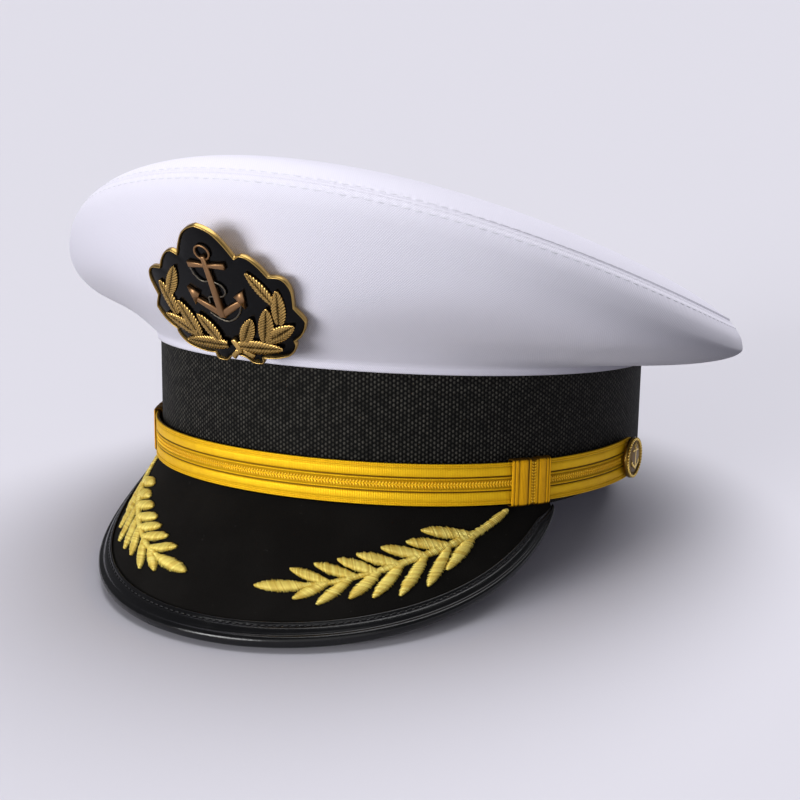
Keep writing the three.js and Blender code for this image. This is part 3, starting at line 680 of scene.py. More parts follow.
def bead(length: float, width: float, height: float) -> Mesh:
    """Makes a small rounded stitch or bead, long in X.

    Args:
        length: Size along X.
        width: Size along Y.
        height: Size along Z.

    Returns:
        The closed mesh.
    """
    bm = bmesh.new()
    bmesh.ops.create_uvsphere(bm, u_segments=6, v_segments=5, radius=0.5)
    bmesh.ops.rotate(bm, verts=bm.verts, matrix=Matrix.Rotation(math.pi / 2, 3, "Y"))
    bmesh.ops.scale(bm, verts=bm.verts, vec=(length, width, height))
    return bm


def smooth_way(points: Sequence[Vector], share: float) -> Vector:
    """Finds a point of the smooth curve through a few points.

    Args:
        points: The points that it runs through.
        share: Share of the way, each stretch between two points counting the same.

    Returns:
        The point on the curve.
    """
    place = min(max(share, 0.0), 1.0) * (len(points) - 1)
    i = min(int(place), len(points) - 2)
    rest = place - i
    p0, p1 = points[max(0, i - 1)], points[i]
    p2, p3 = points[i + 1], points[min(len(points) - 1, i + 2)]
    return 0.5 * (
        2 * p1 + (p2 - p0) * rest + (2 * p0 - 5 * p1 + 4 * p2 - p3) * rest**2
        + (3 * p1 - p0 - 3 * p2 + p3) * rest**3
    )


def facing(origin: Vector, ahead: Vector, up: Vector) -> Matrix:
    """Returns a matrix at origin with its X along ahead and its Z near up."""
    x = ahead.normalized()
    y = up.cross(x).normalized()
    z = x.cross(y)
    return Matrix.Translation(origin) @ Matrix((x, y, z)).transposed().to_4x4()


# Finishes


class Recipe:
    """A material's nodes, written one step at a time."""

    def __init__(self, name: str) -> None:
        """Starts a material with a Principled surface."""
        self.material = bpy.data.materials.new(name)
        self.material.use_nodes = True
        self.tree = self.material.node_tree
        self.shader = self.tree.nodes["Principled BSDF"]
        self.bumps: list[bpy.types.NodeSocket] = []

    def node(self, kind: str, **settings: object) -> bpy.types.Node:
        """Adds a node and sets its own properties.

        Args:
            kind: The node's type.
            settings: Its properties.

        Returns:
            The node.
        """
        node = self.tree.nodes.new(kind)
        for key, value in settings.items():
            setattr(node, key, value)
        return node

    def feed(self, socket: bpy.types.NodeSocket, value: object) -> None:
        """Links or sets a socket.

        Args:
            socket: The socket.
            value: Another node's output, or a plain value.
        """
        if isinstance(value, bpy.types.NodeSocket):
            self.tree.links.new(value, socket)
        else:
            socket.default_value = value

    def set(self, **values: object) -> None:
        """Sets the surface's sockets.

        Args:
            values: The values by the sockets' names, with underscores for their spaces.
        """
        names = {name.replace(" ", "_").lower(): name for name in self.shader.inputs.keys()}
        for key, value in values.items():
            self.feed(self.shader.inputs[names[key]], value)

    def math(self, operation: str, *values: object) -> object:
        """Adds a Math node.

        Args:
            operation: What it works out.
            values: Its inputs.

        Returns:
            Its result.
        """
        node = self.node("ShaderNodeMath", operation=operation)
        for socket, value in zip(node.inputs, values):
            self.feed(socket, value)
        return node.outputs[0]

    def product(self, first: object, second: object) -> object:
        """Returns one value times another."""
        return self.math("MULTIPLY", first, second)

    def weave(self, name: str = "weave") -> tuple[object, object]:
        """Reads one of the piece's own maps.

        Args:
            name: The map's name.

        Returns:
            Its two directions, in metres.
        """
        split = self.node("ShaderNodeSeparateXYZ")
        self.feed(split.inputs[0], self.node("ShaderNodeUVMap", uv_map=name).outputs[0])
        return split.outputs[0], split.outputs[1]

    def tone(self) -> object:
        """Returns the lightness that each vertex of the piece carries."""
        return self.node("ShaderNodeAttribute", attribute_name="tone").outputs["Fac"]

    def hump(self, value: object, middle: float, spread: float) -> object:
        """Shapes a value into a smooth bump of height 1.

        Args:
            value: The value.
            middle: Where the bump is highest.
            spread: Its half width.

        Returns:
            The bump's height.
        """
        apart = self.math("DIVIDE", self.math("SUBTRACT", value, middle), spread)
        return self.math("EXPONENT", self.product(self.product(apart, apart), -1.0))

    def noise(self, scale: float, detail: float = 2.0, roughness: float = 0.5) -> object:
        """Adds a noise on the object's own coordinates.

        Args:
            scale: Its scale per metre.
            detail: How many finer layers it has.
            roughness: How strong those are.

        Returns:
            Its value.
        """
        node = self.node("ShaderNodeTexNoise")
        self.feed(node.inputs["Vector"], self.node("ShaderNodeTexCoord").outputs["Object"])
        self.feed(node.inputs["Scale"], scale)
        self.feed(node.inputs["Detail"], detail)
        self.feed(node.inputs["Roughness"], roughness)
        return node.outputs[0]

    def wave(self, phase: object) -> object:
        """Returns a smooth wave from 0 to 1 with a period of 1 in its phase."""
        turned = self.math("SINE", self.product(phase, 2 * math.pi))
        return self.math("MULTIPLY_ADD", turned, 0.5, 0.5)

    def spread(self, value: object, low: float, high: float, start: float = 0.0, end: float = 1.0) -> object:
        """Maps a value smoothly onto a range.

        Args:
            value: The value.
            low: What gives the start.
            high: What gives the end.
            start: The range's start.
            end: The range's end.

        Returns:
            The mapped value.
        """
        node = self.node("ShaderNodeMapRange", interpolation_type="SMOOTHSTEP")
        for socket, number in zip(node.inputs, (value, low, high, start, end)):
            self.feed(socket, number)
        return node.outputs[0]

    def blend(self, share: object, first: object, second: object) -> object:
        """Mixes two colours.

        Args:
            share: The second colour's share.
            first: The first colour.
            second: The second colour.

        Returns:
            The mixed colour.
        """
        node = self.node("ShaderNodeMix", data_type="RGBA")
        self.feed(node.inputs[0], share)
        self.feed(node.inputs[6], first)
        self.feed(node.inputs[7], second)
        return node.outputs[2]

    def bump(self, height: object, distance: float, strength: float = 1.0) -> None:
        """Adds a relief on top of those before.

        Args:
            height: Its height, as a share of its depth.
            distance: Its depth in metres.
            strength: How much of it shows.
        """
        node = self.node("ShaderNodeBump")
        self.feed(node.inputs["Height"], height)
        self.feed(node.inputs["Distance"], distance)
        self.feed(node.inputs["Strength"], strength)
        if self.bumps:
            self.feed(node.inputs["Normal"], self.bumps[-1])
        self.bumps.append(node.outputs[0])
        self.feed(self.shader.inputs["Normal"], node.outputs[0])


class Finish(Protocol):
    """What every finish offers."""

    def material(self) -> Material:
        """Returns the finish's material."""


def tint(red: float, green: float, blue: float) -> Colour:
    """Returns an opaque colour."""
    return (red, green, blue, 1.0)


@dataclass(frozen=True)
class TwillCloth:
    """White cotton twill: fine diagonal ribs, drawn into small puckers beside the rim seam; painted shade in
    the ribs' furrows and along the seam's crease.
    """

    colour: Colour = tint(0.81, 0.79, 0.90)
    # painted shade in the ribs' furrows
    furrow_shade: Colour = tint(0.70, 0.68, 0.80)
    # painted shade along the rim seam's crease
    seam_crease_shade: Colour = tint(0.30, 0.29, 0.36)
    pitch: float = 0.00062
    slant: float = math.radians(52)
    rib_depth: float = 0.0001
    seam_width: float = 0.0007
    row_inset: float = 0.0016
    row_width: float = 0.0007
    pucker_pitch: float = 0.0031
    pucker_reach: float = 0.0034

    def material(self) -> Material:
        """Returns the cloth's material."""
        recipe = Recipe("white_twill")
        around, along = recipe.weave()
        across = recipe.product(around, math.sin(self.slant) / self.pitch)
        upward = recipe.product(along, math.cos(self.slant) / self.pitch)
        drift = recipe.product(recipe.noise(220.0, 2.0), 0.5)
        phase = recipe.math("ADD", recipe.math("SUBTRACT", across, upward), drift)
        ribs = recipe.wave(phase)
        yarn = recipe.wave(recipe.math("ADD", across, upward))
        cloth = recipe.math("MULTIPLY_ADD", yarn, 0.25, recipe.product(ribs, 0.75))
        shade = recipe.spread(cloth, 0.0, 0.8)
        girth, inward = recipe.weave("edge")
        seam = recipe.hump(inward, 0.0, self.seam_width)
        row = recipe.hump(inward, self.row_inset, self.row_width)
        pucker = recipe.wave(recipe.math("DIVIDE", girth, self.pucker_pitch))
        drawn = recipe.product(pucker, recipe.hump(inward, 0.0, self.pucker_reach))
        held = recipe.product(row, recipe.math("MULTIPLY_ADD", pucker, 0.5, 0.5))
        # Painted shade: the colour darkens in the ribs' furrows, following their relief.
        base = recipe.blend(shade, self.furrow_shade, self.colour)
        recipe.set(
            # Painted shade: darker along the rim seam's crease.
            base_color=recipe.blend(recipe.product(seam, 0.8), base, self.seam_crease_shade),
            roughness=0.9,
            specular_ior_level=0.2,
            sheen_weight=0.15,
            sheen_roughness=0.5,
            sheen_tint=tint(0.95, 0.94, 1.0),
        )
        recipe.bump(recipe.noise(28.0, 3.0), 0.0012, 0.35)
        recipe.bump(drawn, 0.0005, 0.55)
        recipe.bump(recipe.product(recipe.math("ADD", seam, held), -1.0), 0.0006, 0.7)
        recipe.bump(cloth, self.rib_depth, 0.7)
        return recipe.material


@dataclass(frozen=True)
class WovenBand:
    """Black ribbed mohair braid: staggered columns of short raised floats, lightened with painted sheen."""

    ground: Colour = tint(0.0012, 0.0012, 0.0011)
    # painted sheen on the raised floats
    float_sheen: Colour = tint(0.062, 0.058, 0.050)
    column: float = 0.0026
    row: float = 0.0017

    def material(self) -> Material:
        """Returns the braid's material."""
        recipe = Recipe("woven_band")
        around, along = recipe.weave()
        column = recipe.math("DIVIDE", around, self.column / 2)
        number = recipe.math("FLOOR", column)
        shift = recipe.product(recipe.math("MODULO", number, 2.0), 0.5)
        row = recipe.math("ADD", recipe.math("DIVIDE", along, self.row), shift)
        across = recipe.math("SUBTRACT", recipe.math("FRACT", column), 0.5)
        upward = recipe.math("SUBTRACT", recipe.math("FRACT", row), 0.5)
        wide = recipe.math("POWER", recipe.math("DIVIDE", across, 0.47), 2.0)
        tall = recipe.math("POWER", recipe.math("DIVIDE", upward, 0.44), 2.0)
        lump = recipe.math("MAXIMUM", recipe.math("SUBTRACT", 1.0, recipe.math("ADD", wide, tall)), 0.0)
        # Uneven strength of the floats' painted sheen, at random.
        worn = recipe.spread(recipe.noise(420.0, 2.0), 0.36, 0.66, 0.4, 1.25)
        recipe.set(
            base_color=recipe.blend(recipe.product(lump, worn), self.ground, self.float_sheen),
            roughness=0.7,
            specular_ior_level=0.1,
        )
        recipe.bump(lump, 0.00045, 0.9)
        recipe.bump(recipe.noise(2600.0, 2.0), 0.0001, 0.4)
        return recipe.material


@dataclass(frozen=True)
class BlackFelt:
    """Matt black wool felt with stray fibres."""

    colour: Colour = tint(0.0052, 0.0046, 0.0042)
    worn: Colour = tint(0.0075, 0.0068, 0.0062)
    lint: Colour = tint(0.05, 0.048, 0.045)

    def material(self) -> Material:
        """Returns the felt's material."""
        recipe = Recipe("black_felt")
        cloud = recipe.spread(recipe.noise(45.0, 4.0), 0.35, 0.7)
        fleck = recipe.spread(recipe.noise(650.0, 2.0), 0.72, 0.8)
        base = recipe.blend(cloud, self.colour, self.worn)
        recipe.set(
            base_color=recipe.blend(recipe.product(fleck, 0.5), base, self.lint),
            roughness=0.95,
            specular_ior_level=0.05,
            sheen_weight=0.04,
            sheen_roughness=0.6,
            sheen_tint=tint(0.5, 0.48, 0.46),
        )
        recipe.bump(recipe.noise(1800.0, 4.0, roughness=0.7), 0.00025, 0.7)
        return recipe.material


@dataclass(frozen=True)
class GlossBinding:
    """Gloss black binding with a faint grain."""

    name: str = "gloss_binding"
    colour: Colour = tint(0.0025, 0.0025, 0.003)
    roughness: float = 0.15
    grain: float = 0.00006

    def material(self) -> Material:
        """Returns the binding's material."""
        recipe = Recipe(self.name)
        smear = recipe.spread(recipe.noise(90.0, 3.0), 0.3, 0.75, self.roughness, self.roughness + 0.16)
        recipe.set(base_color=self.colour, roughness=smear, specular_ior_level=0.42)
        recipe.bump(recipe.noise(1100.0, 3.0), self.grain, 0.8)
        recipe.bump(recipe.noise(60.0, 2.0), 0.0005, 0.35)
        return recipe.material


@dataclass(frozen=True)
class SpunThread:
    """A shiny thread, each run of it a little lighter or deeper than the next."""

    name: str
    light: Colour
    deep: Colour
    metallic: float = 0.35
    roughness: float = 0.42

    def material(self) -> Material:
        """Returns the thread's material."""
        recipe = Recipe(self.name)
        recipe.set(
            base_color=recipe.blend(recipe.tone(), self.deep, self.light),
            metallic=self.metallic,
            roughness=self.roughness,
            specular_ior_level=0.5,
        )
        recipe.bump(recipe.noise(3000.0, 2.0), 0.00006, 0.6)
        return recipe.material


@dataclass(frozen=True)
class GoldBraid:
    """Woven gold braid: fine ribs across the strap's run, with painted shade in the ribs' valleys and down in
    the strap's grooves.
    """

    name: str = "gold_braid"
    light: Colour = tint(1.0, 0.62, 0.014)
    deep: Colour = tint(0.86, 0.47, 0.008)
    # painted shade down in the braid's grooves
    groove: Colour = tint(0.10, 0.045, 0.003)
    pitch: float = 0.0006

    def material(self) -> Material:
        """Returns the braid's material."""
        recipe = Recipe(self.name)
        around, along = recipe.weave()
        ribs = recipe.wave(recipe.math("DIVIDE", around, self.pitch))
        drift = recipe.spread(recipe.noise(260.0, 3.0), 0.35, 0.7)
        # Painted shade: the ribs' valleys take the deep colour; the drift is tone at random.
        tone = recipe.math("MULTIPLY_ADD", ribs, 0.65, recipe.product(drift, 0.35))
        woven = recipe.blend(tone, self.deep, self.light)
        recipe.set(
            # Painted shade: the vertex tone darkens the grooves.
            base_color=recipe.blend(recipe.tone(), self.groove, woven),
            metallic=0.4,
            roughness=0.46,
            specular_ior_level=0.3,
            specular_tint=tint(1.0, 0.8, 0.35),
        )
        recipe.bump(ribs, 0.00008, 0.8)
        recipe.bump(recipe.noise(1500.0, 2.0), 0.00004, 0.3)
        return recipe.material


@dataclass(frozen=True)
class AntiqueGold:
    """Cast gold-toned metal: bright where it is rubbed, and dark down in its grooves."""

    name: str = "antique_gold"
    bright: Colour = tint(0.62, 0.40, 0.13)
    dark: Colour = tint(0.20, 0.11, 0.03)
    roughness: float = 0.3

    def material(self) -> Material:
        """Returns the metal's material."""
        recipe = Recipe(self.name)
        rubbed = recipe.math("MULTIPLY_ADD", recipe.noise(900.0, 3.0), 0.5, recipe.tone())
        recipe.set(
            base_color=recipe.blend(recipe.spread(rubbed, 0.35, 1.1), self.dark, self.bright),
            metallic=1.0,
            roughness=self.roughness,
        )
        recipe.bump(recipe.noise(1300.0, 3.0), 0.00004, 0.5)
        return recipe.material


@dataclass(frozen=True)
class BlackEnamel:
    """Poured black enamel, glossy and very slightly uneven."""

    colour: Colour = tint(0.0012, 0.0012, 0.0014)

    def material(self) -> Material:
        """Returns the enamel's material."""
        recipe = Recipe("black_enamel")
        recipe.set(
            base_color=self.colour,
            roughness=recipe.spread(recipe.noise(300.0, 3.0), 0.3, 0.8, 0.16, 0.24),
            specular_ior_level=0.12,
        )
        recipe.bump(recipe.noise(120.0, 2.0), 0.0002, 0.3)
        return recipe.material


@dataclass
class Workroom:
    """Turns finished meshes into pieces of the hat at rest."""

    pose: RestPose
    finishes: dict[Finish, Material] = field(default_factory=dict)

    def finish(self, finish: Finish) -> Material:
        """Returns a finish's material, made once."""
        if finish not in self.finishes:
            self.finishes[finish] = finish.material()
        return self.finishes[finish]

    def piece(
        self,
        name: str,
        bm: Mesh,
        material: Material,
        slot: Slot,
        nodes: Sequence[str] = (),
    ) -> bpy.types.Object:
        """Makes an object of a mesh and sets it on the hat.

        Args:
            name: The piece's name.
            bm: Its mesh, in the worn hat's millimetres.
            material: Its finish.
            slot: The record's material slot; not used.
            nodes: The frame's nodes that it stands for.

        Returns:
            The finished object.
        """
        bmesh.ops.transform(bm, matrix=self.pose.matrix(), verts=bm.verts)
        if not bm.verts.layers.float.get("tone"):
            toned(bm, lambda point: 1.0)
        for face in bm.faces:
            face.smooth = True
        mesh = bpy.data.meshes.new(name)
        bm.to_mesh(mesh)
        bm.free()
        mesh.materials.append(material)
        piece = bpy.data.objects.new(name, mesh)
        bpy.context.scene.collection.objects.link(piece)
        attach(piece, "root")
        if nodes:
            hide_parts(*nodes)
        log.info("%s: %d faces", name, len(mesh.polygons))
        return piece


# Sub-assemblies


@dataclass(frozen=True)
class Crown:
    """The cloth crown: side panel, top panel, and the stitching beside the rim seam."""

    form: CrownForm
    columns: int = 240
    hem_rows: int = 4
    side_rows: int = 30
    roll_rows: int = 9
    top_rows: int = 44
    girth_row: int = 18
    crowding: float = 1.9
    tuck: float = 0.9
    stitch_pitch: float = 4.2
    stitch_length: float = 3.0
    stitch_width: float = 0.5
    stitch_offset: float = 1.6

    def build(self, room: Workroom) -> None:
        """Makes the crown's pieces."""
        cloth = room.finish(TwillCloth())
        side = room.piece("crown_side_cloth", self.side(), cloth, Slot.TWILL, ["crown_side"])
        top = room.piece("crown_top_cloth", self.top(), cloth, Slot.TWILL, ["crown_top"])
        for panel in (side, top):
            self.thicken(panel)
        thread = SpunThread("white_thread", tint(0.74, 0.73, 0.82), tint(0.60, 0.59, 0.68), 0.0, 0.7)
        room.piece("rim_stitching", self.stitching(), room.finish(thread), Slot.TWILL)

    def thicken(self, panel: bpy.types.Object) -> None:
        """Gives a panel its wall, inwards."""
        wall = panel.modifiers.new("wall", "SOLIDIFY")
        wall.thickness = self.form.wall * MM
        wall.offset = -1.0
        wall.use_even_offset = False

    def tucked(self, point: Vector, depth: float) -> Vector:
        """Returns a point moved in towards the middle of the crown."""
        return point + (self.middle() - point).normalized() * depth

    def middle(self) -> Vector:
        """Returns a point inside the crown."""
        form = self.form
        return Vector((0, -form.forward, form.band.height + form.rise_back))

    def side_row(self, angle: float, row: int) -> Vector:
        """Finds a point of the side panel.

        Args:
            angle: Turn from the front.
            row: Row up from the hem's lower edge.

        Returns:
            The point, with the folds in it.
        """
        form = self.form
        if row <= self.hem_rows:
            return form.hem_point(angle, row / self.hem_rows)
        row -= self.hem_rows
        if row <= self.side_rows:
            return form.folded(form.side_point(angle, row / self.side_rows), angle)
        row -= self.side_rows
        if row <= self.roll_rows:
            inset = form.seam_inset * row / self.roll_rows
            return form.folded(form.top_point(angle, form.seam_share(angle, inset)), angle)
        seam = form.folded(form.top_point(angle, form.seam_share(angle, form.seam_inset)), angle)
        return self.tucked(seam, self.tuck)

    def side(self) -> Mesh:
        """Makes the side panel's outer face."""
        rows = self.hem_rows + self.side_rows + self.roll_rows + 1
        pitch = TwillCloth().pitch / math.sin(TwillCloth().slant) / MM

        def place(u: float, v: float) -> Vector:
            """Returns the point for a place of the sheet."""
            return self.side_row(u * 2 * math.pi, round(v * rows))

        return Loft(self.columns, rows, place, self.middle(), pitch, self.girth_row).build()

    def top_share(self, row: float) -> float:
        """Returns how far out a row of the top lies, closer together near the rim."""
        return 1 - (1 - row / self.top_rows) ** self.crowding

    def top(self) -> Mesh:
        """Makes the top panel's outer face, with its weave's map laid flat."""
        form = self.form

        def place(u: float, v: float) -> Vector:
            """Returns the point for a place of the sheet."""
            angle, row = u * 2 * math.pi, round(v * (self.top_rows + 1))
            edge = form.seam_share(angle, form.seam_inset)
            if row > self.top_rows:
                return self.tucked(form.folded(form.top_point(angle, edge), angle), self.tuck)
            share = self.top_share(row)
            point = form.top_point(angle, edge * share)
            settled = form.folded(point, angle)
            return point.lerp(settled, max(0.0, share - 0.5) * 2)

        bm = Loft(self.columns, self.top_rows + 1, place, self.middle()).build()
        self.lay_flat(bm)
        return bm

    def lay_flat(self, bm: Mesh) -> None:
        """Turns a round panel's map from turn and reach to a flat cloth.

        Args:
            bm: The panel's mesh, with its reach in the map's second value.
        """
        weave = bm.loops.layers.uv["weave"]
        centre = self.form.top_point(0, 0)
        for face in bm.faces:
            for loop in face.loops:
                away = loop.vert.co - centre
                heading = Vector((away.x, away.y))
                reach = loop[weave].uv.y
                loop[weave].uv = heading.normalized() * reach if heading.length > 1 else (0, 0)

    def stitching(self) -> Mesh:
        """Makes the two rows of stitches beside the rim seam."""
        seam, off = self.form.seam_inset, self.stitch_offset
        places = self.stitch_places(seam + off) + self.stitch_places(seam - off)
        stitch = bead(self.stitch_length, self.stitch_width, self.stitch_width * 0.7)
        return scatter(stitch, places)

    def stitch_places(self, inset: float) -> list[Matrix]:
        """Finds the places of one row of stitches round the rim.

        Args:
            inset: The row's distance in from the widest line.

        Returns:
            One matrix for each stitch.
        """
        form = self.form
        radius = (form.half_width + form.half_length) / 2
        count = round(2 * math.pi * radius / self.stitch_pitch)
        places = []

        def at(turn: float, more: float) -> Vector:
            """Returns the point of the cloth a little further in than the row."""
            return form.folded(form.top_point(turn, form.seam_share(turn, inset + more)), turn)

        for i in range(count):
            angle = 2 * math.pi * i / count
            point, ahead = at(angle, 0), at(angle + TURN_STEP, 0) - at(angle - TURN_STEP, 0)
            up = (at(angle, -0.2) - at(angle, 0.2)).cross(ahead).normalized()
            if up.dot(point - self.middle()) < 0:
                up.negate()
            places.append(facing(point - up * 0.02, ahead, up))
        return places


@dataclass(frozen=True)
class Band:
    """The woven head band."""

    form: BandForm
    columns: int = 240
    rows: int = 20
    tucked: float = 2.2
    rounding: float = 0.7

    def build(self, room: Workroom) -> None:
        """Makes the band."""
        room.piece("band_braid", self.ring(), room.finish(WovenBand()), Slot.BRAID, ["band"])

    def ring(self) -> Mesh:
        """Makes the band's closed wall, with soft edges."""
        form, rows = self.form, self.rows
        top = form.height + self.tucked

        def place(u: float, v: float) -> Vector:
            """Returns the point for a place of the sheet."""
            angle, row = u * 2 * math.pi, round(v * (2 * rows + 2))
            height, off = self.section(row, top)
            return form.ring(angle, mix(form.edge(angle), top, height / top), off)

        return Loft(self.columns, 2 * rows + 2, place, repeat=WovenBand().column / MM, girth_row=2).solid()

    def section(self, row: int, top: float) -> Pair:
        """Finds a corner of the wall's section.

        Args:
            row: The corner's number, up the outside and down the inside.
            top: The wall's height.

        Returns:
            Its height and its distance off the band's outside.
        """
        rows = self.rows
        if row > 2 * rows + 1:
            row = 0
        if row <= rows:
            height = top * row / rows
            rounded = self.rounding if row in (0, rows) else 0.0
            return height, -rounded
        row -= rows + 1
        height = top * (1 - row / rows)
        rounded = self.rounding if row in (0, rows) else 0.0
        return height, rounded - self.form.wall


@dataclass(frozen=True)
class Visor:
    """The felt visor with its gloss binding and the binding's stitches."""

    form: VisorForm
    columns: int = 150
    top_rows: int = 24
    lip: float = 7.0
    lip_share: float = 0.55
    roll_in: float = 0.6
    roll_wide: float = 2.1
    wall: float = 0.9
    stitch_pitch: float = 2.6
    stitch_inset: float = 5.4
    stitch_limit: float = 0.94
    stitch_steps: int = 2400
    even: float = 0.65

    def build(self, room: Workroom) -> None:
        """Makes the visor's pieces."""
        gloss = room.finish(GlossBinding())
        room.piece("visor_felt", self.sheet(), room.finish(BlackFelt()), Slot.FELT, ["visor"])
        room.piece("visor_edge_binding", self.binding(), gloss, Slot.GLOSS, ["visor_binding"])
        stitched = room.finish(GlossBinding("black_thread", tint(0.012, 0.012, 0.013), 0.35))
        room.piece("binding_stitching", self.stitching(), stitched, Slot.GLOSS)

    def angle(self, share: float) -> float:
        """Returns the turn at a share of the way from tip to tip, closer together at the tips."""
        off = share - 0.5
        return mix(math.sin(off * math.pi), off * 2, self.even) * self.form.half_angle

    def sheet(self) -> Mesh:
        """Makes the felt sheet as a closed body."""
        form, rows = self.form, self.top_rows

        def place(u: float, v: float) -> Vector:
            """Returns the point for a place of the sheet."""
            angle, row = self.angle(u), round(v * (2 * rows + 2)) % (2 * rows + 2)
            reach = form.reach(angle)
            if row <= rows:
                return form.point(angle, reach * row / rows)
            start = form.undercut(angle)
            share = 1 - (row - rows - 1) / rows
            return form.point(angle, mix(start, reach, share), -form.depth(angle))

        return Loft(self.columns, 2 * rows + 2, place).solid()

    def section(self, angle: float) -> list[Pair]:
        """Works out the binding's section, as distance in from the edge and height over the felt.

        Args:
            angle: Turn from the front.

        Returns:
            The corners of the section, round it once.
        """
        form = self.form
        depth = form.depth(angle)
        lip = min(self.lip, self.lip_share * form.reach(angle))
        size = lip / self.lip
        top, gap = form.gap + self.wall, form.gap
        strip = [
            (7.0, gap), (7.0, gap + 0.45), (6.75, gap + 0.7), (6.2, gap + 0.78), (5.8, gap + 0.55),
            (5.4, gap + 0.42), (5.0, gap + 0.55), (4.6, top - 0.06), (4.0, top), (3.2, top + 0.02),
            (2.7, top - 0.04), (2.45, top - 0.14),
        ]
        low, high = -depth - gap - self.wall, gap + self.wall + 0.35
        centre, half = (low + high) / 2, (high - low) / 2
        arc = [math.radians(130 - 16 * step) for step in range(16)]
        roll = [
            (self.roll_in - self.roll_wide * math.cos(turn), centre + half * math.sin(turn)) for turn in arc
        ]
        under = [(4.9, low), (4.9, low + self.wall), (-gap, low + self.wall), (-gap, gap)]
        scaled = [(inward * size, over) for inward, over in strip]
        return [*scaled, *roll, *((inward * size, over) for inward, over in under)]

    def binding(self) -> Mesh:
        """Makes the folded binding along the visor's edge."""
        form = self.form
        count = len(self.section(0))

        def place(u: float, v: float) -> Vector:
            """Returns the point for a place of the sheet."""
            angle = self.angle(u)
            inward, over = self.section(angle)[round(v * count) % count]
            return form.point(angle, form.reach(angle) - inward, over)

        return Loft(self.columns, count, place).solid()

    def stitching(self) -> Mesh:
        """Makes the row of stitches along the binding's inner edge."""
        form = self.form
        lift = form.gap + 0.6

        def at(angle: float) -> Vector:
            """Returns the row's point at an angle."""
            return form.point(angle, form.reach(angle) - self.stitch_inset, lift)

        places: list[Matrix] = []
        travelled = 0.0
        limit = form.half_angle * self.stitch_limit
        last = at(-limit)
        for step in range(1, self.stitch_steps):
            angle = mix(-limit, limit, step / self.stitch_steps)
            point = at(angle)
            travelled += (point - last).length
            if travelled >= self.stitch_pitch:
                travelled = 0.0
                up = form.point(angle, 20, 1) - form.point(angle, 20, 0)
                places.append(facing(point, point - last, up))
            last = point
        return scatter(bead(1.9, 0.55, 0.5), places)


@dataclass(frozen=True)
class SprayLeaf:
    """A leaf's base and tip, as its turn in degrees and its share of the visor's reach."""

    base: Pair
    tip: Pair
    width: float = 4.2


@dataclass(frozen=True)
class Seam:
    """A leaf or a stem to be stitched, on the visor's flat pattern."""

    way: Callable[[float], Vector]
    start: float
    end: float
    pointed: bool

    def half(self, share: float) -> float:
        """Finds half the width.

        Args:
            share: Share of the way.

        Returns:
            Half the width there.
        """
        if not self.pointed:
            return mix(self.start, self.end, share) / 2 * min(1.0, 0.45 + share * 14)
        swell = math.sin(math.pi * min(1.0, share * 0.9 + 0.1) ** 1.15)
        return self.start / 2 * (0.1 + 0.9 * max(0.0, swell) ** 0.7)

    def ahead(self, share: float) -> Vector:
        """Returns the direction of the way at a share of it."""
        return self.way(min(1, share + TURN_STEP)) - self.way(max(0, share - TURN_STEP))


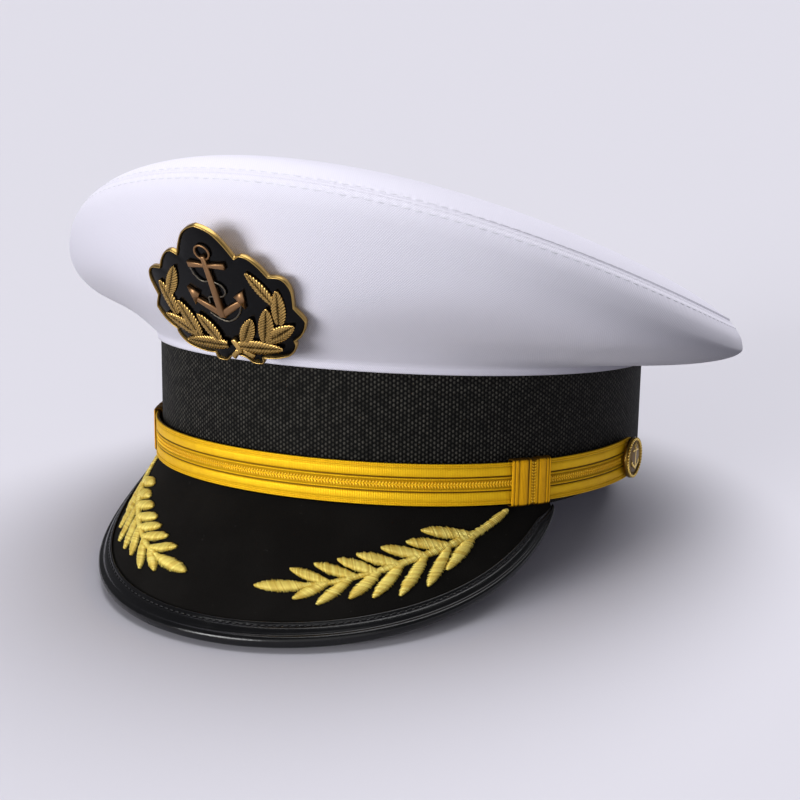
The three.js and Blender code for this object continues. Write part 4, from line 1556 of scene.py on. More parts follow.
@dataclass(frozen=True)
class Spray:
    """One laurel spray in satin stitch: padded leaves and stem, with each thread laid over them."""

    form: VisorForm
    side: Side
    stem: tuple[Pair, ...] = (
        (55.0, 0.09), (48.2, 0.305), (43.8, 0.364), (37.8, 0.432), (32.3, 0.487), (28.8, 0.524),
        (23.7, 0.567), (20.4, 0.596), (14.6, 0.62),
    )
    leaves: tuple[SprayLeaf, ...] = (
        SprayLeaf((16.2, 0.615), (7.2, 0.64), 4.6),
        SprayLeaf((20.0, 0.592), (12.6, 0.507), 3.8),
        SprayLeaf((24.6, 0.56), (16.7, 0.466), 4.0),
        SprayLeaf((28.0, 0.53), (20.7, 0.43), 4.1),
        SprayLeaf((32.2, 0.492), (24.0, 0.395), 4.2),
        SprayLeaf((36.8, 0.445), (28.4, 0.35), 4.3),
        SprayLeaf((41.6, 0.392), (33.1, 0.316), 4.3),
        SprayLeaf((46.5, 0.33), (36.0, 0.225), 4.3),
        SprayLeaf((19.6, 0.6), (14.5, 0.712), 3.8),
        SprayLeaf((23.6, 0.568), (18.7, 0.752), 4.0),
        SprayLeaf((28.4, 0.528), (23.9, 0.722), 4.2),
        SprayLeaf((32.4, 0.49), (27.8, 0.733), 4.3),
        SprayLeaf((36.8, 0.445), (32.3, 0.751), 4.4),
        SprayLeaf((41.4, 0.395), (37.1, 0.723), 4.4),
        SprayLeaf((46.8, 0.325), (40.6, 0.621), 4.4),
    )
    clearance: float = 0.35
    relief: float = 1.0
    thread: float = 0.56
    thread_pitch: float = 0.5
    slant: float = 0.28
    stem_tip: float = 1.7
    stem_base: float = 3.0
    stations: int = 7
    sides: int = 5

    def build(self, room: Workroom) -> None:
        """Makes the spray."""
        side = self.side.name.lower()
        gold = SpunThread("gold_thread", tint(1.0, 0.85, 0.22), tint(0.72, 0.49, 0.055), 0.2, 0.36)
        room.piece(
            f"spray_{side}_embroidery", self.embroidery(), room.finish(gold),
            Slot.THREAD, [f"spray_{side}"],
        )

    def spot(self, turn: float, share: float) -> Vector:
        """Returns a flat spot of the visor's pattern, from a turn in degrees and a share of the reach."""
        angle = math.radians(turn)
        return Vector((angle * self.form.mid_radius, share * self.form.reach(angle), 0))

    def on_visor(self, spot: Vector) -> Vector:
        """Returns the point over the visor for a flat spot, on this spray's side."""
        return self.form.on_face(Vector((spot.x * self.side.value, spot.y, spot.z)))

    def embroidery(self) -> Mesh:
        """Makes the spray's pads and threads as one mesh."""
        parts = []
        seams = []
        for leaf in self.leaves:
            base, tip = self.spot(*leaf.base), self.spot(*leaf.tip)
            seams.append(Seam(lambda share, a=base, b=tip: a.lerp(b, share), leaf.width, leaf.width, True))
        seams.append(Seam(self.stem_point, self.stem_base, self.stem_tip, False))
        for index, seam in enumerate(seams):
            parts += [self.pad(seam), self.threads(seam, index)]
        return merged(parts)

    def stem_point(self, share: float) -> Vector:
        """Returns the stem's flat spot at a share of its way."""
        return smooth_way([self.spot(*point) for point in self.stem], share)

    def pad(self, seam: Seam) -> Mesh:
        """Makes the padding under the threads.

        Args:
            seam: The leaf or stem.

        Returns:
            A closed dome.
        """
        columns, rows = (14, 10) if seam.pointed else (60, 8)

        def place(u: float, v: float) -> Vector:
            """Returns the point for a place of the sheet."""
            centre, ahead = seam.way(u), seam.ahead(u)
            across = Vector((-ahead.y, ahead.x, 0)).normalized()
            half = seam.half(u) * 0.9
            turn = v * 2 * math.pi
            lift = self.clearance + max(0.0, math.sin(turn)) * self.relief * 0.62
            flat = centre + across * half * math.cos(turn)
            return self.on_visor(Vector((flat.x, flat.y, lift)))

        return Loft(columns, rows, place).solid()

    def threads(self, seam: Seam, seed: int) -> Mesh:
        """Lays slanted threads across a leaf or the stem.

        Args:
            seam: The leaf or stem.
            seed: Sets the unevenness of this run of threads.

        Returns:
            The threads as one mesh.
        """
        length = sum((seam.way((i + 1) / 20) - seam.way(i / 20)).length for i in range(20))
        count = max(4, round(length / self.thread_pitch))
        strand = bmesh.new()
        bmesh.ops.create_grid(strand, x_segments=self.stations - 1, y_segments=self.sides, size=0.5)
        moves, tones = [], []
        for i in range(count):
            uneven = 2 * strewn(7 * i + 131 * seed + 3 * self.side.value) - 1
            moves.append(self.laid(seam, (i + 0.5) / count, uneven))
            tones.append(0.1 + 0.9 * strewn(i + 71 * seed))
        bm = repeated(strand, moves, tones)
        bmesh.ops.remove_doubles(bm, verts=bm.verts, dist=WELD)
        close_ends(bm)
        return bm

    def laid(self, seam: Seam, share: float, uneven: float) -> Callable[[Vector], Vector]:
        """Works out how one slanted thread lies.

        Args:
            seam: The leaf or stem under it.
            share: Its share of the way.
            uneven: How it differs from its neighbours, from -1 to 1.

        Returns:
            What gives the thread's point for one of a flat strand.
        """
        heading = seam.ahead(share)
        heading.normalize()
        across = Vector((-heading.y, heading.x, 0))
        half = seam.half(share) * (1 + 0.15 * uneven) + 0.08
        run = across * half + heading * half * self.slant * (2.0 if seam.pointed else 1.4)
        centre = seam.way(share)
        level = self.relief * (0.55 + 0.45 * min(1.0, half / 1.9)) + 0.06 * uneven
        beside = Vector((-run.y, run.x, 0)).normalized()

        def move(corner: Vector) -> Vector:
            """Returns the thread's point for one of the flat strand."""
            along = corner.x * 2
            turn = (corner.y + 0.5) * 2 * math.pi
            thin = self.thread / 2 * (1 - 0.5 * abs(along) ** 3)
            arch = max(0.0, 1 - along**2) ** 0.5 * level
            flat = centre + run * along + beside * thin * math.cos(turn)
            lift = self.clearance - 0.1 + arch + thin * math.sin(turn)
            return self.on_visor(Vector((flat.x, flat.y, lift)))

        return move


@dataclass(frozen=True)
class ChinStrap:
    """The gold strap with its piped edges and centre chain, and its two keepers."""

    form: StrapForm
    columns: int = 200
    chain_pitch: float = 1.1
    chain_row: float = 0.6
    keeper_wall: float = 0.6
    gap: float = 0.3

    def build(self, room: Workroom) -> None:
        """Makes the strap, its chain and its keepers."""
        braid = room.finish(GoldBraid())
        # Painted shade: the keepers take a darker, more orange copy of the strap's braid.
        darker_gold = GoldBraid("keeper_braid", tint(0.96, 0.50, 0.008), tint(0.76, 0.36, 0.005))
        folded = room.finish(darker_gold)
        bright = SpunThread("chain_thread", tint(1.0, 0.61, 0.015), tint(0.80, 0.44, 0.008), 0.35, 0.46)
        chain = room.finish(bright)
        room.piece("chin_strap_braid", self.strap(), braid, Slot.STRAP, ["chin_strap"])
        room.piece("chin_strap_chain", self.chain(), chain, Slot.STRAP)
        for side in Side:
            name = side.name.lower()
            room.piece(f"keeper_{name}_braid", self.keeper(side), folded, Slot.STRAP, [f"keeper_{name}"])
            room.piece(f"keeper_{name}_chain", self.keeper_chain(side), chain, Slot.STRAP)

    @property
    def span(self) -> float:
        """The turn from the front to the strap's end."""
        form = self.form
        return form.button_angle + form.end / form.band.arc(form.button_angle)

    def profile(self) -> list[Pair]:
        """Works out the braid's section: piped edges, flat bands, grooves and a centre strip.

        Returns:
            The corners of the section as distance up and out, round it once.
        """
        low, high, width = self.form.thickness, self.form.face, self.form.width
        rows = [
            (0.0, low - 0.35), (0.12, high - 0.1), (0.4, high), (0.68, high - 0.1), (0.8, low - 0.05),
            (0.92, high - 0.14), (1.15, high - 0.04), (1.4, high - 0.16), (1.55, low - 0.1),
            (1.8, low + 0.16), (2.6, low + 0.24), (4.2, low + 0.24), (4.6, low + 0.14), (4.8, low - 0.2),
            (5.1, low - 0.2), (5.3, high - 0.2), (5.5, high - 0.1), (5.72, high - 0.2), (5.85, low - 0.12),
            (width / 2, low - 0.06),
        ]
        mirrored = [(width - up, out) for up, out in reversed(rows[:-1])]
        return [*rows, *mirrored, (width - 0.2, 0.0), (0.2, 0.0)]

    def strap(self) -> Mesh:
        """Makes the strap with rounded ends."""
        form, span = self.form, self.span
        middle = form.width / 2

        def place(u: float, up: float, out: float) -> Vector:
            """Returns the point for a place of the sheet."""
            angle = mix(-span, span, u)
            left = (span - abs(angle)) * form.band.arc(angle)
            round_off = math.sqrt(max(0.02, 1 - max(0.0, 1 - left / 4.5) ** 2))
            return form.point(angle, middle + (up - middle) * round_off, out)

        bm = sweep(self.columns, self.profile(), place)
        # The tone gives the braid's painted shade down in its grooves.
        return toned(bm, self.raised)

    def raised(self, point: Vector) -> float:
        """Returns 1 on the strap's ridges and less down in its grooves, which the finish turns into painted
        shade.
        """
        return min(1.0, max(0.0, (self.stands(point) - self.form.thickness + 0.22) / 0.14))

    def chain(self) -> Mesh:
        """Makes the centre chain of slanted links, in two rows."""
        form = self.form
        places = []
        limit = form.button_angle - 7 / form.band.arc(form.button_angle)
        angle = -limit
        while angle < limit:
            for row in (1, -1):
                up = form.width / 2 + row * self.chain_row
                slant = Matrix.Rotation(math.radians(row * 66), 4, "Z")
                places.append(form.frame(angle, up, form.thickness + 0.08) @ slant)
            angle += self.chain_pitch / form.band.arc(angle)
        return scatter(bead(1.2, 0.62, 0.42), places)

    def keeper(self, side: Side) -> Mesh:
        """Makes a keeper: the same braid turned upright, folded round the strap.

        Args:
            side: Which keeper.

        Returns:
            The closed loop.
        """
        form = self.form
        half = form.keeper_length / 2 / form.band.arc(form.keeper_angle)
        ridges = [
            (0.0, 0.25), (0.02, 0.45), (0.045, 0.5), (0.07, 0.42), (0.085, 0.2), (0.1, 0.4), (0.13, 0.5),
            (0.16, 0.42), (0.18, 0.2), (0.21, 0.46), (0.36, 0.5), (0.39, 0.42), (0.41, 0.15), (0.43, 0.15),
            (0.45, 0.4), (0.47, 0.46), (0.49, 0.25), (0.55, 0.2), (0.61, 0.25), (0.63, 0.46), (0.65, 0.4),
            (0.67, 0.15), (0.69, 0.42), (0.71, 0.5), (0.84, 0.5), (0.86, 0.4), (0.875, 0.15), (0.89, 0.4),
            (0.91, 0.5), (0.93, 0.4), (0.945, 0.2), (0.96, 0.45), (0.98, 0.5), (1.0, 0.25),
        ]
        loop = self.keeper_loop()

        def place(u: float, v: float) -> Vector:
            """Returns the point for a place of the sheet."""
            share, proud = ridges[round(u * (len(ridges) - 1))]
            up, out, up_way, out_way = loop[round(v * (len(loop) - 1))]
            rise = self.keeper_wall - 0.25 + proud
            along = mix(-half, half, share if side is Side.LEFT else 1 - share)
            angle = side.value * form.keeper_angle + along
            return form.point(angle, up + up_way * rise, out + out_way * rise)

        bm = Loft(len(ridges) - 1, len(loop) - 1, place).build()
        bmesh.ops.recalc_face_normals(bm, faces=bm.faces)
        bmesh.ops.solidify(bm, geom=bm.faces[:], thickness=0.5)
        face = form.face + self.gap + self.keeper_wall
        # The tone gives painted shade down in the keeper's grooves.
        return toned(bm, lambda point: min(1.0, max(0.0, (self.stands(point) - face + 0.15) / 0.15)))

    def stands(self, point: Vector) -> float:
        """Returns how far a point stands out from the strap's back."""
        form = self.form
        angle = math.atan2(point.x / form.band.half_width, -point.y / form.band.half_length)
        back = form.band.ring(angle, point.z)
        return math.hypot(point.x, point.y) - math.hypot(back.x, back.y) - form.stand

    def keeper_loop(self) -> list[tuple[float, float, float, float]]:
        """Works out the way of a keeper's inner face round the strap.

        Returns:
            Rows of up, out, and the outward direction there, once round and closed.
        """
        form, gap = self.form, self.gap
        low, high = -gap, form.width + gap
        back, front = -gap, form.face + gap
        radius = 0.5
        rows: list[tuple[float, float, float, float]] = []
        corners = [
            (high - radius, front - radius, 90), (high - radius, back + radius, 0),
            (low + radius, back + radius, -90), (low + radius, front - radius, -180),
        ]
        for up, out, turn in corners:
            for step in range(5):
                way = math.radians(turn - 22.5 * step)
                reach = (math.cos(way), math.sin(way))
                rows.append((up + radius * reach[0], out + radius * reach[1], *reach))
            if turn == -180:
                for step in range(1, 12):
                    rows.append((mix(low + radius, high - radius, step / 12), front, 0.0, 1.0))
        return [*rows, rows[0]]

    def keeper_chain(self, side: Side) -> Mesh:
        """Makes the double column of small beads down a keeper's middle."""
        form = self.form
        places = []
        count = 14
        arc = form.band.arc(form.keeper_angle)
        out = form.face + self.gap + self.keeper_wall + 0.02
        for column in (-1, 1):
            angle = side.value * form.keeper_angle + column * 0.525 / arc
            angle += side.value * 0.05 * form.keeper_length / arc
            slant = Matrix.Rotation(math.radians(28 * column), 4, "Z")
            for i in range(count):
                up = mix(0.6, form.width - 0.6, i / (count - 1))
                places.append(form.frame(angle, up, out) @ slant)
        return scatter(bead(1.05, 0.62, 0.44), places)


@dataclass(frozen=True)
class SideButton:
    """A gold side button: a dished disc with a rope rim and a small anchor."""

    form: StrapForm
    side: Side
    diameter: float = 15.5
    height: float = 3.4
    rim: float = 1.5
    dish: float = 0.9
    shank: float = 2.4
    gap: float = 0.3
    steps: int = 48

    def build(self, room: Workroom) -> None:
        """Makes the button's pieces."""
        side = self.side.name.lower()
        worn = AntiqueGold("button_gold", tint(0.74, 0.52, 0.13), tint(0.2, 0.12, 0.025), 0.27)
        darker_gold = AntiqueGold("button_field", tint(0.11, 0.06, 0.010), tint(0.04, 0.02, 0.004), 0.34)
        gold = room.finish(worn)
        place = self.place()
        room.piece(f"button_{side}_disc", self.disc(place), gold, Slot.BRASS, [f"button_{side}"])
        room.piece(f"button_{side}_field", self.field(place), room.finish(darker_gold), Slot.BRASS)
        room.piece(f"button_{side}_anchor", self.anchor(place), gold, Slot.BRASS)

    def place(self) -> Matrix:
        """Returns the frame at the button's back, with Z out of the band."""
        form = self.form
        angle = self.side.value * form.button_angle
        back, middle = form.face + self.gap, form.width / 2
        around = form.point(angle + TURN_STEP, middle, back) - form.point(angle - TURN_STEP, middle, back)
        up = (form.point(angle, form.width, back) - form.point(angle, 0, back)).normalized()
        out = around.normalized().cross(up).normalized()
        level = up.cross(out)
        turn = Matrix((level, up, out)).transposed().to_4x4()
        return Matrix.Translation(form.point(angle, middle, back)) @ turn

    def lathe(self, profile: Sequence[Pair]) -> Mesh:
        """Spins a profile of radius and height about Z into a closed body.

        Args:
            profile: The corners, from the axis out and back to it.

        Returns:
            The closed mesh.
        """
        bm = bmesh.new()
        verts = [bm.verts.new((radius, 0, height)) for radius, height in profile]
        edges = [bm.edges.new(pair) for pair in zip(verts, verts[1:])]
        bmesh.ops.spin(
            bm, geom=[*verts, *edges], cent=(0, 0, 0), axis=(0, 0, 1), angle=2 * math.pi,
            steps=self.steps, use_merge=True, use_duplicate=False,
        )
        bmesh.ops.remove_doubles(bm, verts=bm.verts, dist=WELD)
        bmesh.ops.recalc_face_normals(bm, faces=bm.faces)
        return bm

    def disc(self, place: Matrix) -> Mesh:
        """Makes the disc, its shank and its rope rim."""
        radius = self.diameter / 2
        field = radius - self.rim
        shank = self.form.face + self.form.stand
        profile = [
            (0, -shank + 0.3), (self.shank / 2, -shank + 0.3), (self.shank / 2, 0), (radius - 0.9, 0),
            (radius - 0.2, 0.3), (radius, 0.8), (radius, 1.3), (radius - 0.3, 1.8), (radius - 0.7, 2.1),
            (field, 2.0), (field - 0.2, 1.5), (0, 1.45),
        ]
        body = self.lathe(profile)
        count = 40
        places = []
        for i in range(count):
            turn = 2 * math.pi * i / count
            spot = Matrix.Rotation(turn, 4, "Z") @ Matrix.Translation((radius - 0.75, 0, 2.1))
            places.append(spot @ Matrix.Rotation(math.radians(52), 4, "Z"))
        rope = scatter(bead(1.9, 0.95, 0.9), places)
        whole = merged([body, rope])
        bmesh.ops.transform(whole, matrix=place, verts=whole.verts)
        return whole

    def field(self, place: Matrix) -> Mesh:
        """Makes the dished field inside the rim."""
        field = self.diameter / 2 - self.rim - 0.1
        top = self.height - self.dish
        profile = [
            (0, 1.5), (field, 1.5), (field, 1.75), (field * 0.85, top - 0.5), (field * 0.5, top - 0.12),
            (0, top),
        ]
        bm = self.lathe(profile)
        bmesh.ops.transform(bm, matrix=place, verts=bm.verts)
        return bm

    def anchor(self, place: Matrix) -> Mesh:
        """Makes the small anchor relief."""
        top = self.height - self.dish - 0.1
        scale = (self.diameter / 2 - self.rim) / 18.0
        whole = Anchor().solid(0.9 / scale * 0.4)
        bmesh.ops.transform(
            whole,
            matrix=place @ Matrix.Translation((0, 0, top - 0.25)) @ Matrix.Scale(scale, 4),
            verts=whole.verts,
        )
        return whole


@dataclass(frozen=True)
class Anchor:
    """A stocked anchor drawn about the middle of its height, in millimetres."""

    ring_up: float = 13.5
    ring_radius: float = 2.75
    ring_wire: float = 0.42
    shank_top: float = 12.3
    shank: float = 1.7
    stock_up: float = 8.5
    stock_half: float = 7.3
    stock: float = 1.3
    foot: float = -12.3
    arm_foot: float = -11.1
    arm: float = 2.8
    elbow: Pair = (8.5, -5.8)
    fluke: Pair = (10.6, -1.2)
    fluke_half: float = 2.8

    def rod(self, start: Vector, end: Vector, width: float, height: float, taper: float = 1.0) -> Mesh:
        """Makes a bevelled bar between two spots.

        Args:
            start: One end, in the flat.
            end: The other end.
            width: Width in the flat at the start.
            height: Thickness.
            taper: Width at the end, as a share of that at the start.

        Returns:
            The bar's mesh.
        """
        bm = bmesh.new()
        bmesh.ops.create_cube(bm, size=1.0)
        length = (end - start).length
        for vert in bm.verts:
            narrow = taper if vert.co.x > 0 else 1.0
            vert.co = Vector((vert.co.x * length, vert.co.y * width * narrow, (vert.co.z + 0.5) * height))
        top = [edge for edge in bm.edges if all(vert.co.z > height / 2 for vert in edge.verts)]
        bmesh.ops.bevel(
            bm, geom=top, offset=min(width, height) * 0.36, offset_type="OFFSET", affect="EDGES",
            segments=3, profile=0.5, material=-1,
        )
        turn = math.atan2(end.y - start.y, end.x - start.x)
        place = Matrix.Translation((start + end) / 2) @ Matrix.Rotation(turn, 4, "Z")
        bmesh.ops.transform(bm, matrix=place, verts=bm.verts)
        return bm

    def solid(self, height: float) -> Mesh:
        """Makes the anchor at a thickness.

        Args:
            height: Thickness of its bars.

        Returns:
            The anchor's parts as one mesh.
        """
        top, foot, stock, arm = (
            Vector((0, up, 0)) for up in (self.shank_top, self.foot, self.stock_up, self.arm_foot)
        )
        parts = [self.rod(top, foot, self.shank, height, 1.7), self.hoop(height)]
        for side in (1, -1):
            stock_end = Vector((side * self.stock_half, self.stock_up, 0))
            elbow = Vector((side * self.elbow[0], self.elbow[1], 0))
            parts.append(self.rod(stock, stock_end, self.stock, height * 0.85, 1.8))
            parts.append(self.rod(arm, elbow, self.arm, height * 0.9, 0.7))
            parts.append(self.barb(side, height))
        return merged(parts)

    def hoop(self, height: float) -> Mesh:
        """Makes the ring at the anchor's head."""
        turns = [i * math.pi / 4 for i in range(8)]
        section = [
            (self.ring_radius + self.ring_wire * math.cos(t), height * 0.4 + self.ring_wire * math.sin(t))
            for t in turns
        ]

        def place(u: float, radius: float, height: float) -> Vector:
            """Returns the ring's point at a share of its round."""
            turn = u * 2 * math.pi
            return Vector((radius * math.cos(turn), self.ring_up + radius * math.sin(turn), height))

        return sweep(28, section, place)

    def barb(self, side: int, height: float) -> Mesh:
        """Makes one arrow-shaped fluke at the end of an arm."""
        elbow = Vector((side * self.elbow[0], self.elbow[1], 0))
        tip = Vector((side * self.fluke[0], self.fluke[1], 0))
        ahead = (elbow - Vector((0, self.arm_foot, 0))).normalized()
        beside = Vector((-ahead.y, ahead.x, 0)) * self.fluke_half
        bm = bmesh.new()
        corners = [bm.verts.new(spot) for spot in (tip + ahead * 0.6, elbow + beside, elbow - beside)]
        base = bm.faces.new(corners)
        raised = bmesh.ops.extrude_face_region(bm, geom=[base], use_keep_orig=True)
        top = [vert for vert in raised["geom"] if isinstance(vert, bmesh.types.BMVert)]
        bmesh.ops.translate(bm, verts=top, vec=(0, 0, height * 0.7))
        lid = [face for face in bm.faces if all(vert in top for vert in face.verts)]
        peak = bmesh.ops.poke(bm, faces=lid)
        bmesh.ops.translate(bm, verts=peak["verts"], vec=(0, 0, height * 0.45))
        bmesh.ops.recalc_face_normals(bm, faces=bm.faces)
        return bm


@dataclass(frozen=True)
class WreathLeaf:
    """A leaf of the badge's wreath, from base to tip."""

    base: Pair
    tip: Pair
    width: float
    lift: float = 0.0


@dataclass(frozen=True)
class Badge:
    """The cap badge: a lobed plate with a gold rim, black enamel, a wreath and a fouled anchor."""

    crown: CrownForm
    width: float = 61.0
    height: float = 55.4
    seat: float = 0.433
    lean: float = math.radians(5)
    thickness: float = 2.2
    bend: float = 180.0
    rim: float = 0.7
    gap: float = 0.3
    anchor_up: float = 7.6
    lobes: tuple[tuple[Pair, ...], ...] = (
        ((0.0, 31.4), (3.3, 30.3), (6.6, 27.9), (9.5, 23.5), (11.6, 19.2)),
        ((11.6, 19.2), (13.8, 20.3), (16.7, 19.3), (19.6, 16.2), (22.0, 12.2)),
        ((22.0, 12.2), (25.3, 12.0), (27.3, 10.8), (28.5, 8.6), (28.9, 5.4), (27.9, -0.2)),
        ((27.9, -0.2), (30.5, -5.0), (30.1, -7.4), (28.8, -9.9), (26.9, -12.1), (24.4, -13.8)),
        (
            (24.4, -13.8), (24.5, -15.3), (23.3, -17.7), (20.9, -19.8), (18.0, -20.8), (14.0, -21.5),
            (10.0, -21.5),
        ),
        ((10.0, -21.5), (9.3, -23.8), (5.5, -24.0), (3.0, -22.0), (0.0, -21.0)),
    )
    leaves: tuple[WreathLeaf, ...] = (
        WreathLeaf((20.8, 2.2), (14.3, 14.0), 4.3, 0.1),
        WreathLeaf((20.8, -6.3), (23.7, 7.0), 5.0, 0.0),
        WreathLeaf((13.4, -14.0), (17.9, -0.2), 5.5, 0.3),
        WreathLeaf((14.3, -13.4), (26.0, -7.0), 5.3, 0.2),
        WreathLeaf((4.9, -14.6), (10.9, -4.5), 5.0, 0.45),
        WreathLeaf((2.0, -16.1), (19.4, -16.4), 5.3, 0.5),
    )
    outline_steps: int = 4
    rib_pitch: float = 1.2

    def build(self, room: Workroom) -> None:
        """Makes the badge's pieces."""
        gold = AntiqueGold("badge_gold", tint(0.40, 0.26, 0.08), tint(0.11, 0.065, 0.017), 0.33)
        leaf = AntiqueGold("wreath_gold", tint(0.66, 0.42, 0.13), tint(0.02, 0.010, 0.002), 0.27)
        copper = AntiqueGold("anchor_gold", tint(0.27, 0.15, 0.07), tint(0.09, 0.045, 0.018), 0.42)
        silver = AntiqueGold("rope_silver", tint(0.13, 0.115, 0.09), tint(0.04, 0.035, 0.03), 0.35)
        rows = (
            ("badge_rimmed_plate", self.plate, gold, Slot.BRASS, ["badge_plate"]),
            ("badge_black_field", self.enamel, BlackEnamel(), Slot.ENAMEL, ["badge_enamel"]),
            ("badge_laurel", self.wreath, leaf, Slot.BRASS, ["badge_wreath"]),
            ("badge_fouled_anchor", self.anchor, copper, Slot.BRASS, ["badge_anchor"]),
            ("badge_rope", self.rope, silver, Slot.BRASS, []),
        )
        for name, make, finish, slot, nodes in rows:
            room.piece(name, make(), room.finish(finish), slot, nodes)

    def frame(self) -> Matrix:
        """Returns the badge's frame on the front of the crown, clear of it by the gap."""
        form = self.crown
        hem, rim = form.hem_point(0, 1), form.top_point(0, 1)
        across = Vector((1, 0, 0))
        up = Matrix.Rotation(self.lean, 3, across) @ (rim - hem).normalized()
        out = across.cross(up).normalized()
        centre = (hem + rim) / 2
        proud = 0.0
        for turn in range(-30, 31):
            for step in range(21):
                offset = form.side_point(math.radians(turn), step / 20) - centre
                u, v, w = offset.dot(across), offset.dot(up), offset.dot(out)
                if abs(u) < self.width / 2 and abs(v) < self.height * (1 - self.seat):
                    proud = max(proud, w + u**2 / (2 * self.bend))
        turned = Matrix((across, up, out)).transposed().to_4x4()
        return Matrix.Translation(centre + out * (proud + self.gap + 0.1)) @ turned

    def bent(self, bm: Mesh, lift: float = 0.0) -> Mesh:
        """Bends a flat piece of the badge and sets it on the crown.

        Args:
            bm: The piece, drawn flat.
            lift: Its height over the badge's back.

        Returns:
            The same mesh, in place.
        """
        place = self.frame()
        for vert in bm.verts:
            x, y, z = vert.co
            radius = self.bend + z + lift
            turn = x / self.bend
            vert.co = place @ Vector((radius * math.sin(turn), y, radius * math.cos(turn) - self.bend))
        return bm

    def outline(self) -> list[Vector]:
        """Works out the plate's outline, clockwise from its top, in smooth lobes between its notches."""
        right = [Vector((*self.lobes[0][0], 0))]
        for lobe in self.lobes:
            points = [Vector((*point, 0)) for point in lobe]
            for step in range(1, (len(points) - 1) * self.outline_steps + 1):
                right.append(smooth_way(points, step / ((len(points) - 1) * self.outline_steps)))
        left = [Vector((-point.x, point.y, 0)) for point in reversed(right[1:-1])]
        return [*right, *left]

    def inset(self, outline: Sequence[Vector], distance: float) -> list[Vector]:
        """Moves a closed outline inwards.

        Args:
            outline: The corners, clockwise.
            distance: How far in.

        Returns:
            The moved corners.
        """
        count = len(outline)
        moved = []
        for i, point in enumerate(outline):
            first = (point - outline[i - 1]).normalized()
            second = (outline[(i + 1) % count] - point).normalized()
            inward = Vector((first.y + second.y, -first.x - second.x, 0)).normalized()
            spread = max(0.75, math.sqrt(max(0.0, (1 + first.dot(second)) / 2)))
            moved.append(point + inward * distance / spread)
        return moved

    def rings(self, rows: Sequence[tuple[float, float, float]]) -> Mesh:
        """Makes a body from copies of the outline.

        Args:
            rows: For each ring its inset, its size about the middle, and its height.

        Returns:
            The closed mesh.
        """
        outline = self.outline()
        middle = Vector((0, -2, 0))
        loops = []
        for distance, size, height in rows:
            moved = self.inset(outline, distance) if distance else outline
            loops.append([middle + (point - middle) * size + Vector((0, 0, height)) for point in moved])
        count = len(outline)

        def place(u: float, v: float) -> Vector:
            """Returns the point for a place of the sheet."""
            return loops[round(v * (len(rows) - 1))][round(u * count) % count]

        return Loft(count, len(rows) - 1, place).solid()

    def plate(self) -> Mesh:
        """Makes the plate with its rounded rim."""
        floor, top = self.thickness - 1.1, self.thickness
        rows = [
            (0, 0, 0), (0, 0.4, 0), (0, 0.8, 0), (0.3, 1, 0), (0, 1, 0.35), (0, 1, top - 0.5),
            (0.1, 1, top - 0.14), (0.25, 1, top), (0.45, 1, top), (0.58, 1, top - 0.15), (0.66, 1, top - 0.4),
            (self.rim, 1, floor), (self.rim, 0.7, floor), (self.rim, 0.35, floor), (self.rim, 0, floor),
        ]
        return self.bent(self.rings(rows))

    def enamel(self) -> Mesh:
        """Makes the black field inside the rim."""
        low = self.thickness - 1.1 + 0.05
        edge, inner = self.rim - 0.05, self.rim + 0.4
        rows = [
            (self.rim, 0, low), (self.rim, 0.6, low), (edge, 1, low), (edge, 1, low + 0.35),
            (inner, 1, low + 0.52), (inner, 0.85, low + 0.62), (inner, 0.6, low + 0.7),
            (inner, 0.3, low + 0.74), (inner, 0, low + 0.75),
        ]
        return self.bent(self.rings(rows))

    def wreath(self) -> Mesh:
        """Makes the wreath's ribbed leaves, crossed stems and tie."""
        parts = []
        for side in (1, -1):
            for leaf in self.leaves:
                base = Vector((side * leaf.base[0], leaf.base[1], 0))
                tip = Vector((side * leaf.tip[0], leaf.tip[1], 0))
                parts.append(self.ribbed_leaf(base, tip, leaf.width, leaf.lift))
        for start, end in (((1.4, -18.2), (-1.6, -21.4)), ((3.2, -18.0), (7.2, -20.4))):
            stem = Anchor().rod(Vector((*start, 0)), Vector((*end, 0)), 1.7, 1.3, 1.2)
            bmesh.ops.translate(stem, verts=stem.verts, vec=(0, 0, 0.2))
            parts.append(toned(stem, lambda point: 0.6))
        tie = Anchor().rod(Vector((1.0, -13.4, 0)), Vector((2.9, -18.9, 0)), 1.9, 2.0)
        parts.append(toned(tie, lambda point: 1.0))
        return self.bent(merged(parts), self.thickness - 0.4)

    def ribbed_leaf(self, base: Vector, tip: Vector, width: float, lift: float) -> Mesh:
        """Makes one cast leaf: domed, with a midrib and slanting ribs.

        Args:
            base: Its base, in the flat.
            tip: Its tip.
            width: Its greatest width.
            lift: Height of its underside.

        Returns:
            The closed leaf.
        """
        along = tip - base
        across = Vector((-along.y, along.x, 0)).normalized()
        ribs = round(along.length / self.rib_pitch)

        def half_at(u: float) -> float:
            """Returns half the leaf's width at a share of its length."""
            swell = math.sin(math.pi * min(1.0, u * 0.9 + 0.1) ** 0.95)
            return width / 2 * (0.12 + 0.88 * max(0.0, swell) ** 0.7) if u < 0.999 else 0.08

        def groove(u: float, side: float) -> float:
            """Returns how high the ribs stand at a place of the leaf."""
            return 0.5 + 0.5 * math.cos((u * ribs - abs(side) * width / 2 * 0.75) * 2 * math.pi)

        def place(u: float, v: float) -> Vector:
            """Returns the point for a place of the sheet."""
            turn = v * 2 * math.pi
            side = math.cos(turn)
            ridge = groove(u, side)
            dome = max(0.0, math.sin(turn)) ** 0.6
            height = dome * (0.95 - 0.25 * u + 0.5 * ridge) - 0.4 * bell(side, 0, 0.12) * dome
            off = across * side * half_at(u) * (1 + 0.1 * ridge)
            return base + along * u + off + Vector((0, 0, lift + height))

